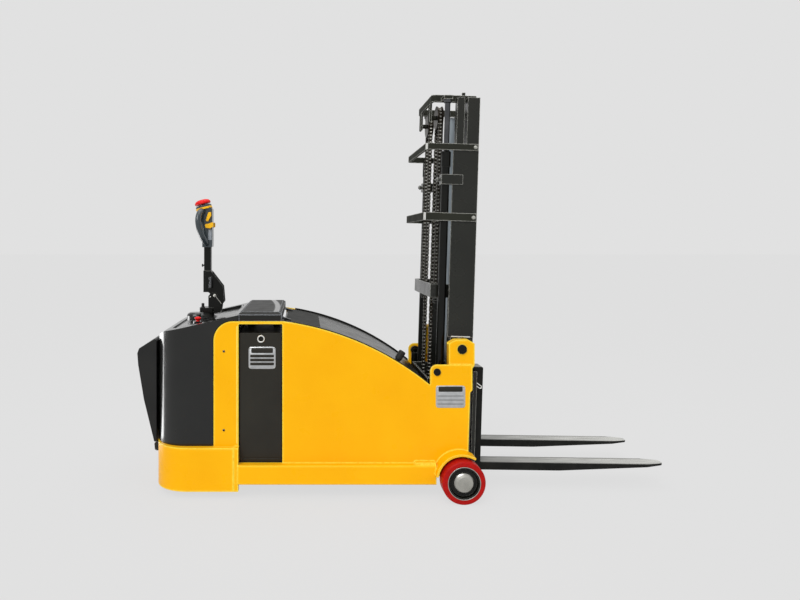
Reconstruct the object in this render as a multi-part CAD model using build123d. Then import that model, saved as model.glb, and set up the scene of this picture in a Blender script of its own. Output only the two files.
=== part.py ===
from build123d import *
import math
import os

# A walk-behind counterbalanced stacker. Millimetres and degrees.
# X runs forward to the fork tips from the front axle, Y to the truck's left, Z up from the floor.
# Every part is drawn on the left side or across the middle, and the right side is its mirror image.

# Truck
SIDE_Y = 368
PLATE = 10
INNER_Y = SIDE_Y - PLATE
FLOOR_Z = 100
RAIL_TOP_Z = 165
SHOULDER_Z = 870
RUNNING = 0.05
GAP = 0.4

# Stations along the truck, from the front axle
NOSE_X = 68
EAR_X = -142
WALL_X = -185
TANK_GAP = (45, 108)
TANK_LENGTH = 330
TANK_WIDTH = 340
TANK_HEIGHT = 300
BATTERY_FRONT_X = -878
BATTERY_REAR_X = -1096
PANEL_REAR_X = -1220
HOOD_REAR_X = -1522
SKIRT_REAR_X = -1520
POST_REAR_X = BATTERY_REAR_X - 22
STEER_X = -1300

# Sloping nose: three points of the arc that the side plates and the front cover share
SLOPE = [(BATTERY_FRONT_X + 4, SHOULDER_Z), (-536, 783), (EAR_X - 2, 555)]
COVER_DROP = 6
COVER_SKIN = 4
LIP_RISE = 5
LIP_WIDTH = 7

# Battery lid hinge and dash
LID_HINGE = (BATTERY_FRONT_X + 1, SHOULDER_Z + 4)
LID_HINGE_Y = 240
LID_PIN_R = 2.5
LID_KNUCKLE = 22
DASH_X = (HOOD_REAR_X + 72, BATTERY_REAR_X - 28)
DASH_Y = SIDE_Y - 62
DASH_LOW_Z = SHOULDER_Z - 62
DASH_SLOPE = 0.2
STOP_R = 11

# Front wheels
WHEEL_R = 105
WHEEL_WIDTH = 85
WHEEL_IN_Y = SIDE_Y + 39
TREAD_R = 79
AXLE_R = 25
HUB_CAP_R = 48

# Rear underside
SKIRT_Y = 402
SKIRT_LOW_Z = 34
SKIRT_TOP_Z = 249
SKIRT_CORNER = 175
SHEET = 8
DECK_TOP_Z = SKIRT_TOP_Z - SHEET
DECK_Z = DECK_TOP_Z - 12
TURNTABLE_R = 126
DRIVE_R = 113
DRIVE_WIDTH = 72
DRIVE_AXLE_R = 26
CASTOR_X = SKIRT_REAR_X + 105
CASTOR_Y = 220
CASTOR_R = 50
CASTOR_TRAIL = 30
CASTOR_WIDTH = 40
CASTOR_PIN_R = 8
KING_PIN_R = 10

# Mast, drawn upright and then leaned about the trunnion
PIVOT_X = 18.5
PIVOT_Z = 730
PIVOT_R = 22
MAST_LEAN = 1.8
MAST_Y = 300
RAIL_X = (23, 85)
RAIL_WIDTH = 55
RAIL_WEB = 10
FLANGE = 9
MAST_LOW_Z = 95
MAST_TOP_Z = 2000
POST_X = (-30, 8)
POST_WIDTH = 50
GUARD = 3
GUARD_Z = (PIVOT_Z + 52, MAST_TOP_Z - 271)
GUARD_X = (-45, RAIL_X[1])
TIE_THICK = 12
TIE_X = (-184, 80)
TIE_Z = [(MAST_TOP_Z - 630, MAST_TOP_Z - 589), (GUARD_Z[1], GUARD_Z[1] + 33)]
BACK_X = -130
INNER_RAIL_Y = (190, 240)
INNER_WEB = 8
INNER_LOW_Z = 200
FOOT_BEAM = 60
INNER_TOP_Z = MAST_TOP_Z - 10
HEAD_Z = INNER_TOP_Z + 36

# Lift cylinders and chains
LIFT_X = -75
LIFT_Y = 276
BARREL_R = 21
GLAND_R = 24.5
ROD_R = 14
ROD_SEAT = 80
LIFT_FOOT_Z = 180
GLAND_Z = (MAST_TOP_Z - 355, MAST_TOP_Z - 273)
CLAMP_Z = (GLAND_Z[0] - 90, GLAND_Z[0] - 39)
SHEAVE_X = -93
HOOP_REACH = 53
SHEAVE_Y = 139
SHEAVE_Z = INNER_TOP_Z - 72
SHEAVE_PIN_R = 12
CHAIN_RADIUS = 52
CHAIN = (20, 12)
ANCHOR_LOW_Z = 976
ANCHOR_Z = (ANCHOR_LOW_Z, ANCHOR_LOW_Z + 70)
CHAIN_LOW_Z = 400

# Tilt cylinders
TILT_TOP = (-107.7, 618)
TILT_LUG = (-100, 300)
TILT_Y = 330
TILT_EYE = 24
TILT_PIN_R = 14
TILT_ROD_R = 10
LUG_PIN_R = 12
TILT_PLAY = 1.2

# Carriage and forks
ROLLER_X = sum(RAIL_X) / 2
ROLLER_R = (RAIL_X[1] - RAIL_X[0]) / 2 - FLANGE - 0.5
SHAFT_R = 10
CARRIAGE_X = 30
CARRIAGE_Y = (172, 186)
BAR_X = (95.5, 115)
BAR_Z = [(150, 230), (518, 608)]
ROLLER_Z = (BAR_Z[0][1] + 10, BAR_Z[1][1] - 65)
BAR_Y = 290
FORK_BACK_X = BAR_X[1] + 1
FORK_THICK = 38
FORK_LENGTH = 950
FORK_WIDTH = 100
FORK_Y = 206
FORK_LOW_Z = 100
FORK_RISE = 1.0
TIP_THICK = 10
FORK_TOP_Z = BAR_Z[1][1] + 18
TAPER_X = 560

# Tiller
TILLER = (STEER_X + 43, SHOULDER_Z + 103)
TUBE_X = (STEER_X - 18, STEER_X + 20)
TUBE_TOP_Z = TILLER[1] + 263
TUBE_Y = 19
CHEEK_Y = 24
BLOCK_Z = (SHOULDER_Z + 11, SHOULDER_Z + 37)
BLOCK_X = (STEER_X - 40, STEER_X + 38)
CHEEK_X = (TILLER[0] - 35, TILLER[0] + 31)
TILLER_PIN_R = 8
HEAD_Y = 32
GRIP_REACH = 56
THROTTLE = (TUBE_X[0] + 34, TUBE_TOP_Z + 114)
THROTTLE_R = 6
ROCKER = (TUBE_X[0] + 28, TUBE_TOP_Z + 168)
ROCKER_R = 5
KEY = (STEER_X - 22, -34)
CROWN = (TUBE_X[0] - 3, TUBE_TOP_Z + 216)
CAP_TILT = 15
CAP_R = 44
STEM_R = 8

# Platform
FOLD = (SKIRT_REAR_X - 15, 205)
PLATFORM_REAR_X = -1627
PLATFORM_TOP_Z = 769
PLATFORM_Y = 255
FOLD_PIN_R = 6


def lean_point(x, z):
    """Where a point of the upright mast stands once the mast leans."""
    angle = math.radians(MAST_LEAN)
    dx, dz = x - PIVOT_X, z - PIVOT_Z
    return (
        PIVOT_X + dx * math.cos(angle) + dz * math.sin(angle),
        PIVOT_Z - dx * math.sin(angle) + dz * math.cos(angle),
    )


FORK_FRONT_X = FORK_BACK_X + FORK_THICK
TIP_X = FORK_FRONT_X + FORK_LENGTH
TIP_Z = FORK_LOW_Z + FORK_THICK + FORK_LENGTH * math.tan(math.radians(FORK_RISE))
# The frame's origin is on the floor under the middle of the whole length.
FRONT_AXLE_X = -(PLATFORM_REAR_X + lean_point(TIP_X, TIP_Z)[0]) / 2


def outline(points, place):
    """Face inside a closed outline of (a, b) or (a, b, corner radius) points."""
    flat = [Vector(p[0], p[1]) for p in points]
    radii = [p[2] if len(p) > 2 else 0 for p in points]
    edges, starts, ends = [], [], []
    for i, corner in enumerate(flat):
        if not radii[i]:
            starts.append(corner)
            ends.append(corner)
            continue
        back = (flat[i - 1] - corner).normalized()
        ahead = (flat[(i + 1) % len(flat)] - corner).normalized()
        half = math.radians(back.get_angle(ahead)) / 2
        reach = radii[i] / math.tan(half)
        middle = (back + ahead).normalized()
        crown = corner + middle * (radii[i] / math.sin(half) - radii[i])
        starts.append(corner + back * reach)
        ends.append(corner + ahead * reach)
        edges.append(ThreePointArc(*[place(v) for v in (starts[i], crown, ends[i])]))
    for i in range(len(flat)):
        if (starts[i] - ends[i - 1]).length > 1e-6:
            edges.append(Line(place(ends[i - 1]), place(starts[i])))
    return make_face(edges)


def slab(points, y0, y1):
    """Side-view outline of (x, z) points, thick from y0 to y1."""
    face = outline(points, lambda v: (v.X, y0, v.Y))
    return extrude(face, amount=y1 - y0, dir=(0, 1, 0))


def plan(points, z0, z1):
    """Plan-view outline of (x, y) points, thick from z0 to z1."""
    face = outline(points, lambda v: (v.X, v.Y, z0))
    return extrude(face, amount=z1 - z0, dir=(0, 0, 1))


def box(x, y, z):
    """Box from three (low, high) pairs."""
    size = [high - low for low, high in (x, y, z)]
    middle = [(high + low) / 2 for low, high in (x, y, z)]
    return Pos(*middle) * Box(*size)


def rod(start, end, radius):
    """Round bar between two points."""
    line = Vector(*end) - Vector(*start)
    return extrude(Plane(start, z_dir=line) * Circle(radius), amount=line.length)


def turned(profile, start, along):
    """Solid turned from (radius, distance) points about a line from start."""
    base = Plane(start, z_dir=along)
    face = make_face(Polyline(*[(r, 0, d) for r, d in profile], close=True))
    return base * revolve(face, axis=Axis.Z)


def right(shape):
    """Mirror image on the truck's right side."""
    return mirror(shape, about=Plane.XZ)


def both(shape):
    """A left part together with its mirror image."""
    return shape + right(shape)


def lean(shape):
    """Turn a part of the upright mast about the trunnion to the mast's rest angle."""
    pivot = Pos(PIVOT_X, 0, PIVOT_Z)
    return pivot * Rot(0, MAST_LEAN, 0) * pivot.inverse() * shape


def under_slope(drop, y0, y1, low_z):
    """Everything below the nose arc lowered by a drop, from y0 to y1."""
    arc = [(x, y0, z - drop) for x, z in SLOPE]
    low = [(SLOPE[2][0], y0, low_z), (SLOPE[0][0], y0, low_z)]
    edges = [ThreePointArc(*arc), Line(arc[2], low[0]), Line(low[0], low[1]), Line(low[1], arc[0])]
    return extrude(make_face(edges), amount=y1 - y0, dir=(0, 1, 0))


def rear_panel(grow):
    """Yellow panel behind the battery, grown by a gap, as a side-view outline."""
    return [
        (BATTERY_REAR_X + 20, DECK_TOP_Z),
        (PANEL_REAR_X - grow, DECK_TOP_Z),
        (PANEL_REAR_X - grow, SHOULDER_Z + grow, 95),
        (BATTERY_REAR_X + 20, SHOULDER_Z + grow),
    ]


def side_frame():
    """Welded side: plate with sloping nose and battery opening, post, rail, fender, trunnion lug and axle."""
    plate = slab(rear_panel(0), INNER_Y, SIDE_Y)
    plate += box((BATTERY_REAR_X, SLOPE[0][0]), (INNER_Y, SIDE_Y), (FLOOR_Z, SHOULDER_Z))
    plate += under_slope(0, INNER_Y, SIDE_Y, FLOOR_Z)
    ear_r = 36
    front = [
        (SLOPE[2][0] - 1, FLOOR_Z),
        (SLOPE[2][0] - 1, SLOPE[2][1]),
        (EAR_X, SLOPE[2][1]),
        (EAR_X, TILT_TOP[1] + ear_r, ear_r - 1),
        (NOSE_X, TILT_TOP[1] + ear_r, 10),
        (NOSE_X, TILT_TOP[1] - 91),
        (NOSE_X - 11, TILT_TOP[1] - 102),
        (NOSE_X - 20, FLOOR_Z + 132),
        (NOSE_X - 20, FLOOR_Z),
    ]
    plate += slab(front, INNER_Y, SIDE_Y)
    opening = [
        (BATTERY_REAR_X, RAIL_TOP_Z),
        (BATTERY_REAR_X, SHOULDER_Z - 14, 6),
        (BATTERY_FRONT_X, SHOULDER_Z - 14, 6),
        (BATTERY_FRONT_X, RAIL_TOP_Z),
    ]
    plate -= slab(opening, INNER_Y, SIDE_Y)
    rail_end_x = EAR_X + 24
    rail_y = SIDE_Y + 40
    rail_low_z = FLOOR_Z - 31
    rail_section = [
        (SIDE_Y, rail_low_z),
        (rail_y, rail_low_z, 8),
        (rail_y, RAIL_TOP_Z, 8),
        (SIDE_Y, RAIL_TOP_Z),
    ]
    section = outline(rail_section, lambda v: (BATTERY_REAR_X - 2, v.X, v.Y))
    plate += extrude(section, amount=rail_end_x - BATTERY_REAR_X + 2, dir=(1, 0, 0))
    plate += box((rail_end_x - 104, rail_end_x), (SIDE_Y, rail_y - 10), (RAIL_TOP_Z - 1, RAIL_TOP_Z + 11))
    plate += box((POST_REAR_X + GAP, BATTERY_REAR_X + 2), (INNER_Y, SKIRT_Y), (SKIRT_LOW_Z, SKIRT_TOP_Z))
    plate += fender()
    plate += trunnion_lug()
    plate += rod((0, INNER_Y, WHEEL_R), (0, SIDE_Y + 10, WHEEL_R), AXLE_R + 14)
    plate += rod((0, SIDE_Y, WHEEL_R), (0, WHEEL_IN_Y + WHEEL_WIDTH - 22, WHEEL_R), AXLE_R)
    pin = rod((TILT_TOP[0], INNER_Y, TILT_TOP[1]), (TILT_TOP[0], SIDE_Y, TILT_TOP[1]), TILT_PIN_R)
    return plate - pin


def fender():
    """Arched wheel guard standing out from the side plate, behind and above the wheel."""
    inner, outer = WHEEL_R + 12, WHEEL_R + 22
    rear, front = math.radians(172), math.radians(58)
    middle = (rear + front) / 2

    def at(radius, angle):
        return (radius * math.cos(angle), SIDE_Y, WHEEL_R + radius * math.sin(angle))

    edges = [
        ThreePointArc(at(outer, rear), at(outer, middle), at(outer, front)),
        Line(at(outer, front), at(inner, front)),
        ThreePointArc(at(inner, front), at(inner, middle), at(inner, rear)),
        Line(at(inner, rear), at(outer, rear)),
    ]
    return extrude(make_face(edges), amount=WHEEL_WIDTH, dir=(0, 1, 0))


def trunnion_lug():
    """Two bored plates and a rear web that hold the mast's trunnion."""
    low_z, top_z = PIVOT_Z - 130, PIVOT_Z + 46
    rear_x, front_x = PIVOT_X - 65.5, PIVOT_X + 63.5
    inner, plate = MAST_Y + 6, 11
    round_r = 52
    shape = [
        (rear_x, low_z),
        (rear_x, top_z - 18, 6),
        (PIVOT_X - 34, top_z, round_r / 2),
        (PIVOT_X + 34, top_z, round_r / 2),
        (front_x, top_z - 18, 6),
        (front_x, low_z + 50, 20),
        (NOSE_X - 20, low_z),
    ]
    lug = slab(shape, INNER_Y - plate, INNER_Y) + slab(shape, inner, inner + plate)
    lug += box((rear_x, rear_x + plate), (inner, INNER_Y), (low_z, top_z - 24))
    bore = rod((PIVOT_X, inner, PIVOT_Z), (PIVOT_X, INNER_Y, PIVOT_Z), PIVOT_R + RUNNING)
    return lug - bore


def tilt_pins():
    """Headed pins through the side plates that carry the tilt cylinders."""
    x, z = TILT_TOP
    pin = rod((x, TILT_Y - TILT_EYE / 2, z), (x, SIDE_Y, z), TILT_PIN_R)
    return both(pin + rod((x, SIDE_Y, z), (x, SIDE_Y + 6, z), TILT_PIN_R + 4))


def chassis_frame():
    """Floor, front wall, battery walls and the rear deck that carries drive unit and castors."""
    wall = 10
    wall_x = SLOPE[0][0] + 20
    rear_wall_x = BATTERY_REAR_X - wall
    floor = box((rear_wall_x, WALL_X), (-INNER_Y, INNER_Y), (FLOOR_Z, FLOOR_Z + 12))
    front = box((WALL_X - wall, WALL_X), (-INNER_Y, INNER_Y), (FLOOR_Z, SHOULDER_Z))
    middle = box((wall_x, wall_x + wall), (-INNER_Y, INNER_Y), (FLOOR_Z, SHOULDER_Z))
    frame = (front + middle) & under_slope(COVER_DROP + COVER_SKIN, -INNER_Y, INNER_Y, FLOOR_Z)
    frame += floor
    frame += box((rear_wall_x, BATTERY_REAR_X), (-INNER_Y, INNER_Y), (FLOOR_Z, SHOULDER_Z - 40))
    frame += plan(rear_outline(SHEET + GAP, rear_wall_x + 1), DECK_Z, DECK_TOP_Z)
    frame -= both(box((POST_REAR_X, rear_wall_x + 2), (INNER_Y, SKIRT_Y), (DECK_Z, DECK_TOP_Z)))
    frame -= rod((STEER_X, 0, DECK_Z), (STEER_X, 0, DECK_TOP_Z), TURNTABLE_R)
    for y in (-CASTOR_Y, CASTOR_Y):
        frame -= rod((CASTOR_X, y, DECK_Z), (CASTOR_X, y, DECK_TOP_Z), KING_PIN_R + RUNNING)
    return frame


def rear_outline(inset, front_x):
    """Plan outline of the rounded rear, drawn in by an inset."""
    corner = SKIRT_CORNER - inset
    return [
        (front_x, -SKIRT_Y + inset),
        (SKIRT_REAR_X + inset, -SKIRT_Y + inset, corner),
        (SKIRT_REAR_X + inset, SKIRT_Y - inset, corner),
        (front_x, SKIRT_Y - inset),
    ]


def rear_skirt():
    """Rounded bumper sheet around the rear with an inner top flange and platform hinge lugs."""
    front_x = POST_REAR_X
    skirt = plan(rear_outline(0, front_x), SKIRT_LOW_Z, SKIRT_TOP_Z)
    skirt -= plan(rear_outline(SHEET, front_x + 1), SKIRT_LOW_Z, DECK_TOP_Z)
    skirt -= plan(rear_outline(60, front_x + 1), DECK_TOP_Z, SKIRT_TOP_Z)
    side = both(box((PANEL_REAR_X - 1, front_x), (INNER_Y - 60, SIDE_Y + 1), (DECK_TOP_Z, SKIRT_TOP_Z)))
    skirt -= side
    for y in hinge_stations():
        lug = slab(
            [
                (SKIRT_REAR_X + 1, FOLD[1] - 16),
                (FOLD[0] - 12, FOLD[1] - 16, 10),
                (FOLD[0] - 12, FOLD[1] + 12, 10),
                (SKIRT_REAR_X + 1, FOLD[1] + 16),
            ],
            y - 14,
            y + 14,
        )
        skirt += lug
        skirt += rod((FOLD[0], y - 40, FOLD[1]), (FOLD[0], y + 40, FOLD[1]), FOLD_PIN_R)
    return skirt


def hinge_stations():
    """Where the platform's two hinges stand across the truck."""
    return (-PLATFORM_Y + 85, PLATFORM_Y - 85)


def hood_solid(inset):
    """Rounded hood body: plan outline cut by the sloping side view."""
    half = SIDE_Y - 2 - inset
    corner = SKIRT_CORNER - 10 - inset
    footprint = plan(
        [
            (BATTERY_REAR_X - 2, -half),
            (HOOD_REAR_X + inset, -half, corner),
            (HOOD_REAR_X + inset, half, corner),
            (BATTERY_REAR_X - 2, half),
        ],
        SKIRT_TOP_Z,
        SHOULDER_Z + 60,
    )
    side = slab(
        [
            (BATTERY_REAR_X, SKIRT_TOP_Z),
            (HOOD_REAR_X, SKIRT_TOP_Z),
            (HOOD_REAR_X, SHOULDER_Z - 66 - inset, 70),
            (BATTERY_REAR_X, SHOULDER_Z + 31 - inset),
        ],
        -SIDE_Y,
        SIDE_Y,
    )
    return footprint & side


def drive_hood():
    """Moulded rear cover with an open dished top and the yellow panel's place cut out."""
    skin, ledge = 6, 8
    hood = hood_solid(0) - hood_solid(skin)
    hood -= both(slab(rear_panel(2), INNER_Y - 40, SIDE_Y + 1))
    dish = dash_column(0)
    hood = hood - dish
    hood += (dash_column(-16) & dash_slab(-ledge, 0)) - dash_column(14)
    lip = dash_column(-skin) - dish
    hood += lip & hood_solid(0) & dash_slab(-ledge, 100)
    half = INNER_Y - 41
    front_x = BATTERY_REAR_X - 2
    return hood + box((front_x - skin, front_x), (-half, half), (SHOULDER_Z - 34, SHOULDER_Z + 25))


def dash_outline(inset):
    """Plan outline of the opening in the hood's top."""
    rear, front = DASH_X[0] + inset, DASH_X[1] - inset
    half = DASH_Y - inset
    return [
        (front, -half, 40),
        (rear, -half, 90),
        (rear, half, 90),
        (front, half, 40),
    ]


def dash_column(inset):
    """Upright block with the dash opening's outline."""
    return plan(dash_outline(inset), DASH_LOW_Z - 110, SHOULDER_Z + 60)


def dash_height(x):
    """Height of the dash floor along the truck."""
    return DASH_LOW_Z + (x - DASH_X[0]) * DASH_SLOPE


def dash_slab(low, high):
    """Sloping layer between two offsets from the dash floor."""
    x0, x1 = DASH_X[0] - 30, DASH_X[1] + 24
    points = [
        (x0, dash_height(x0) + low),
        (x0, dash_height(x0) + high),
        (x1, dash_height(x1) + high),
        (x1, dash_height(x1) + low),
    ]
    return slab(points, -SIDE_Y, SIDE_Y)


def control_panel():
    """Dash plate in the dished top with the column's collar, the stop's bezel and an instrument pod."""
    panel = dash_column(1) & dash_slab(0, 6)
    top = dash_height(STEER_X) + 6
    panel += rod((STEER_X, 0, top - 8), (STEER_X, 0, top + 12), 66)
    panel -= rod((STEER_X, 0, top - 60), (STEER_X, 0, top + 60), 52)
    x, y, z = stop_place()
    panel += rod((x, y, z - 12), (x, y, z), 24)
    panel -= rod((x, y, z - 30), (x, y, z + 1), STOP_R + RUNNING)
    x, y, pod_r = STEER_X - 75, 90, 54
    profile = [(0, 0), (pod_r, 0), (pod_r, 24), (pod_r - 4, 34), (pod_r - 16, 41), (0, 43)]
    return panel + turned(profile, (x, y, dash_height(x) + 4), (0, 0, 1))


def stop_place():
    """Top of the emergency stop's bezel."""
    x = STEER_X - 26
    return x, 118 - DASH_Y, dash_height(x) + 18


def emergency_stop():
    """Mushroom button on its stem."""
    x, y, z = stop_place()
    profile = [(0, -20), (STOP_R, -20), (STOP_R, 8), (14, 9), (17, 12), (17, 17), (13, 21), (7, 23), (0, 23)]
    return turned(profile, (x, y, z), (0, 0, 1))


def battery_pack():
    """Battery case with a ribbed side panel, a grip eye on each side and terminal blocks on top."""
    low_z, top_z = FLOOR_Z + 12, SHOULDER_Z - 60
    half = INNER_Y - 6
    case = box((BATTERY_REAR_X + 3, BATTERY_FRONT_X - 3), (-half, half), (low_z, top_z))
    eye_x, eye_z, eye_r = (BATTERY_FRONT_X + BATTERY_REAR_X) / 2 + 2, top_z - 29, 12
    ring = turned([(eye_r, 0), (eye_r + 7, 0), (eye_r + 7, 5), (eye_r, 5)], (eye_x, half, eye_z), (0, 1, 0))
    hole = rod((eye_x, half - 8, eye_z), (eye_x, half, eye_z), eye_r)
    panel_line = box((BATTERY_REAR_X + 14, BATTERY_FRONT_X - 14), (half - 2, half), (low_z + 70, low_z + 74))
    for x in (BATTERY_REAR_X + 40, BATTERY_FRONT_X - 40):
        case += box((x - 18, x + 18), (-60, 60), (top_z, top_z + 22))
    return case - both(hole) - both(panel_line) + both(ring)


def battery_lid():
    """Bevelled lid over the battery with a turned-down rim and hinge knuckles at the front."""
    rear, front = BATTERY_REAR_X + 1, BATTERY_FRONT_X - 4
    low_z, top_z = SHOULDER_Z + GAP, SHOULDER_Z + 46
    half, rim = SIDE_Y - 4, 6

    def bevelled(low, high, inset, drop):
        return [
            (low, low_z),
            (low, top_z - drop),
            (low + inset, top_z),
            (high - inset, top_z),
            (high, top_z - drop),
            (high, low_z),
        ]

    lid = slab(bevelled(rear, front, 14, 8), -half, half)
    section = outline(bevelled(-half, half, 20, 14), lambda v: (rear, v.X, v.Y))
    lid = lid & extrude(section, amount=front - rear, dir=(1, 0, 0))
    lid -= box((rear + rim, front - rim), (-half + rim, half - rim), (low_z, top_z - 24))
    x, z = LID_HINGE
    for y in (-LID_HINGE_Y, LID_HINGE_Y):
        ends = (y - LID_KNUCKLE, y + LID_KNUCKLE)
        slot = LID_KNUCKLE / 2 + GAP
        knuckle = rod((x, ends[0], z), (x, ends[1], z), 2 * LID_PIN_R)
        knuckle += box((front - 1, x), ends, (low_z, z + LID_PIN_R))
        knuckle -= box((front, x + 9), (y - slot, y + slot), (low_z - 9, z + 9))
        lid += knuckle - rod((x, ends[0], z), (x, ends[1], z), LID_PIN_R + RUNNING)
    return lid


def front_cover():
    """Curved cover over the pump bay between the side plates, with raised edges and lid hinge leaves."""
    half = INNER_Y - GAP
    cover = under_slope(COVER_DROP, -half, half, FLOOR_Z)
    cover -= under_slope(COVER_DROP + COVER_SKIN, -half, half, FLOOR_Z - 1)
    cover = cover & box((SLOPE[0][0] + 4, SLOPE[2][0] - 4), (-half, half), (FLOOR_Z + 20, SHOULDER_Z))
    lip_y = (half - LIP_WIDTH, half)
    lip = under_slope(-LIP_RISE, *lip_y, FLOOR_Z) - under_slope(COVER_DROP + 1, *lip_y, FLOOR_Z - 1)
    lip = lip & box((SLOPE[0][0] + 50, SLOPE[2][0] - 4), lip_y, (FLOOR_Z + 20, SHOULDER_Z))
    cover += both(lip)
    x, z = LID_HINGE
    knuckle = 2 * LID_PIN_R
    tail_x = x + 40
    leaf = [
        (x, z - knuckle),
        (x, z + knuckle),
        (x + 8, z + 2),
        (tail_x, z - 8),
        (tail_x, z - 18),
        (x + 10, z - 13),
    ]
    for y in (-LID_HINGE_Y, LID_HINGE_Y):
        ends = (y - LID_KNUCKLE / 2, y + LID_KNUCKLE / 2)
        cover += slab(leaf, *ends)
        cover += rod((x, ends[0], z), (x, ends[1], z), knuckle)
        cover += rod((x, y - LID_KNUCKLE, z), (x, y + LID_KNUCKLE, z), LID_PIN_R)
    return cover


def slope_height(x):
    """Height of the nose arc at a station, from the circle through its three points."""
    (ax, az), (bx, bz), (cx, cz) = SLOPE
    d = 2 * (ax * (bz - cz) + bx * (cz - az) + cx * (az - bz))
    a2, b2, c2 = ax * ax + az * az, bx * bx + bz * bz, cx * cx + cz * cz
    ux = (a2 * (bz - cz) + b2 * (cz - az) + c2 * (az - bz)) / d
    uz = (a2 * (cx - bx) + b2 * (ax - cx) + c2 * (bx - ax)) / d
    radius = math.hypot(ax - ux, az - uz)
    return uz + math.sqrt(radius * radius - (x - ux) ** 2), (x - ux) / radius


def breather_cap():
    """Filler breather of the oil tank, square to the cover."""
    x = EAR_X - 158
    z, sine = slope_height(x)
    along = (sine, 0, math.sqrt(1 - sine * sine))
    base = (x, 60 - INNER_Y, z - COVER_DROP)
    neck_r, cap_r = 14, 18
    profile = [
        (0, 0),
        (21, 0),
        (21, 5),
        (neck_r, 5),
        (neck_r, 12),
        (cap_r, 14),
        (cap_r, 56),
        (neck_r, 60),
        (0, 60),
    ]
    return turned(profile, base, along)


def power_pack():
    """Oil tank with pump motor on the floor of the nose bay."""
    low = FLOOR_Z + 12
    front, outer = WALL_X - TANK_GAP[0], TANK_GAP[1] - INNER_Y
    rear, inner = front - TANK_LENGTH, outer + TANK_WIDTH
    corners = [(rear, outer), (rear, inner), (front, inner), (front, outer)]
    tank = plan([(x, y, 20) for x, y in corners], low, low + TANK_HEIGHT)
    motor_x = (rear + front) / 2
    profile = [(0, 0), (78, 0), (78, 200), (66, 214), (30, 220), (0, 220)]
    motor = turned(profile, (motor_x, inner + 120, low), (0, 0, 1))
    return tank + motor + box((motor_x - 40, motor_x + 40), (inner - 10, inner + 60), (low + 40, low + 120))


def front_tyre():
    """Cast polyurethane tread with rounded shoulders."""
    w, r = WHEEL_WIDTH, WHEEL_R
    edge = [(TREAD_R, 2), (r - 8, 2), (r - 2, 5), (r, 11)]
    profile = edge + [(radius, w - d) for radius, d in reversed(edge)]
    return turned(profile, (0, WHEEL_IN_Y, WHEEL_R), (0, 1, 0))


def front_hub():
    """Wheel body with a stepped dish and a bore for the stub axle."""
    w, bore = WHEEL_WIDTH, AXLE_R + RUNNING
    profile = [
        (bore, 0),
        (TREAD_R, 0),
        (TREAD_R, w),
        (TREAD_R - 9, w),
        (TREAD_R - 15, w - 14),
        (HUB_CAP_R + 4, w - 14),
        (HUB_CAP_R + 4, w - 10),
        (HUB_CAP_R - 8, w - 10),
        (HUB_CAP_R - 8, w - 20),
        (bore, w - 20),
    ]
    return turned(profile, (0, WHEEL_IN_Y, WHEEL_R), (0, 1, 0))


def hub_cap():
    """Domed bearing cap pressed in the hub's mouth."""
    r = HUB_CAP_R
    profile = [(0, 0), (r, 0), (r, 3), (r - 6, 8), (r - 18, 12), (0, 15)]
    return turned(profile, (0, WHEEL_IN_Y + WHEEL_WIDTH - 10, WHEEL_R), (0, 1, 0))


def drive_unit():
    """Turntable with the drive motor above, gearbox leg and axle below and the steering column."""
    ring_z = DECK_TOP_Z + GAP
    motor_z, cap_z = ring_z + 26, ring_z + 319
    unit = rod((STEER_X, 0, ring_z), (STEER_X, 0, motor_z), TURNTABLE_R + 24)
    unit += rod((STEER_X, 0, motor_z), (STEER_X, 0, cap_z), 84)
    unit += rod((STEER_X, 0, cap_z), (STEER_X, 0, cap_z + 40), 60)
    unit += rod((STEER_X, 0, cap_z), (STEER_X, 0, BLOCK_Z[0]), 36)
    leg_y = DRIVE_WIDTH / 2 + 6
    leg = slab(
        [
            (STEER_X - 62, ring_z + 4),
            (STEER_X - 62, DRIVE_R, 20),
            (STEER_X - 30, DRIVE_R - 52, 20),
            (STEER_X + 30, DRIVE_R - 52, 20),
            (STEER_X + 62, DRIVE_R, 20),
            (STEER_X + 62, ring_z + 4),
        ],
        leg_y,
        leg_y + 40,
    )
    return unit + leg + rod((STEER_X, -DRIVE_WIDTH / 2, DRIVE_R), (STEER_X, leg_y, DRIVE_R), DRIVE_AXLE_R)


def drive_wheel():
    """Drive wheel with a bonded tyre on a stepped hub."""
    w, hub_r = DRIVE_WIDTH, DRIVE_R - 26
    edge = [(DRIVE_AXLE_R + RUNNING, 0), (hub_r, 0), (hub_r, 4), (DRIVE_R - 6, 4), (DRIVE_R, 10)]
    profile = edge + [(radius, w - d) for radius, d in reversed(edge)]
    return turned(profile, (STEER_X, -w / 2, DRIVE_R), (0, 1, 0))


def castor_fork():
    """Swivel head with a captive king pin, two legs and the wheel pin."""
    x, y = CASTOR_X, CASTOR_Y
    top, cap_z = DECK_Z - GAP, DECK_TOP_Z + GAP
    rear, front = x - 38, x + 34
    inner, plate = CASTOR_WIDTH / 2 + 2, 6
    outer = inner + plate
    fork = rod((x, y, top - 14), (x, y, top), 40)
    fork += rod((x, y, top), (x, y, cap_z), KING_PIN_R)
    fork += rod((x, y, cap_z), (x, y, cap_z + 5), KING_PIN_R + 7)
    axle_x = x - CASTOR_TRAIL
    leg = [
        (front, top - 4),
        (rear, top - 4),
        (axle_x - 18, CASTOR_R, 14),
        (axle_x - 4, CASTOR_R - 16, 10),
        (axle_x + 16, CASTOR_R - 12, 8),
        (front, top - 40),
    ]
    fork += slab(leg, y + inner, y + outer) + slab(leg, y - outer, y - inner)
    fork += box((rear, front), (y - outer, y + outer), (top - 14, top - 8))
    return fork + rod((axle_x, y - outer, CASTOR_R), (axle_x, y + outer, CASTOR_R), CASTOR_PIN_R)


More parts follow.
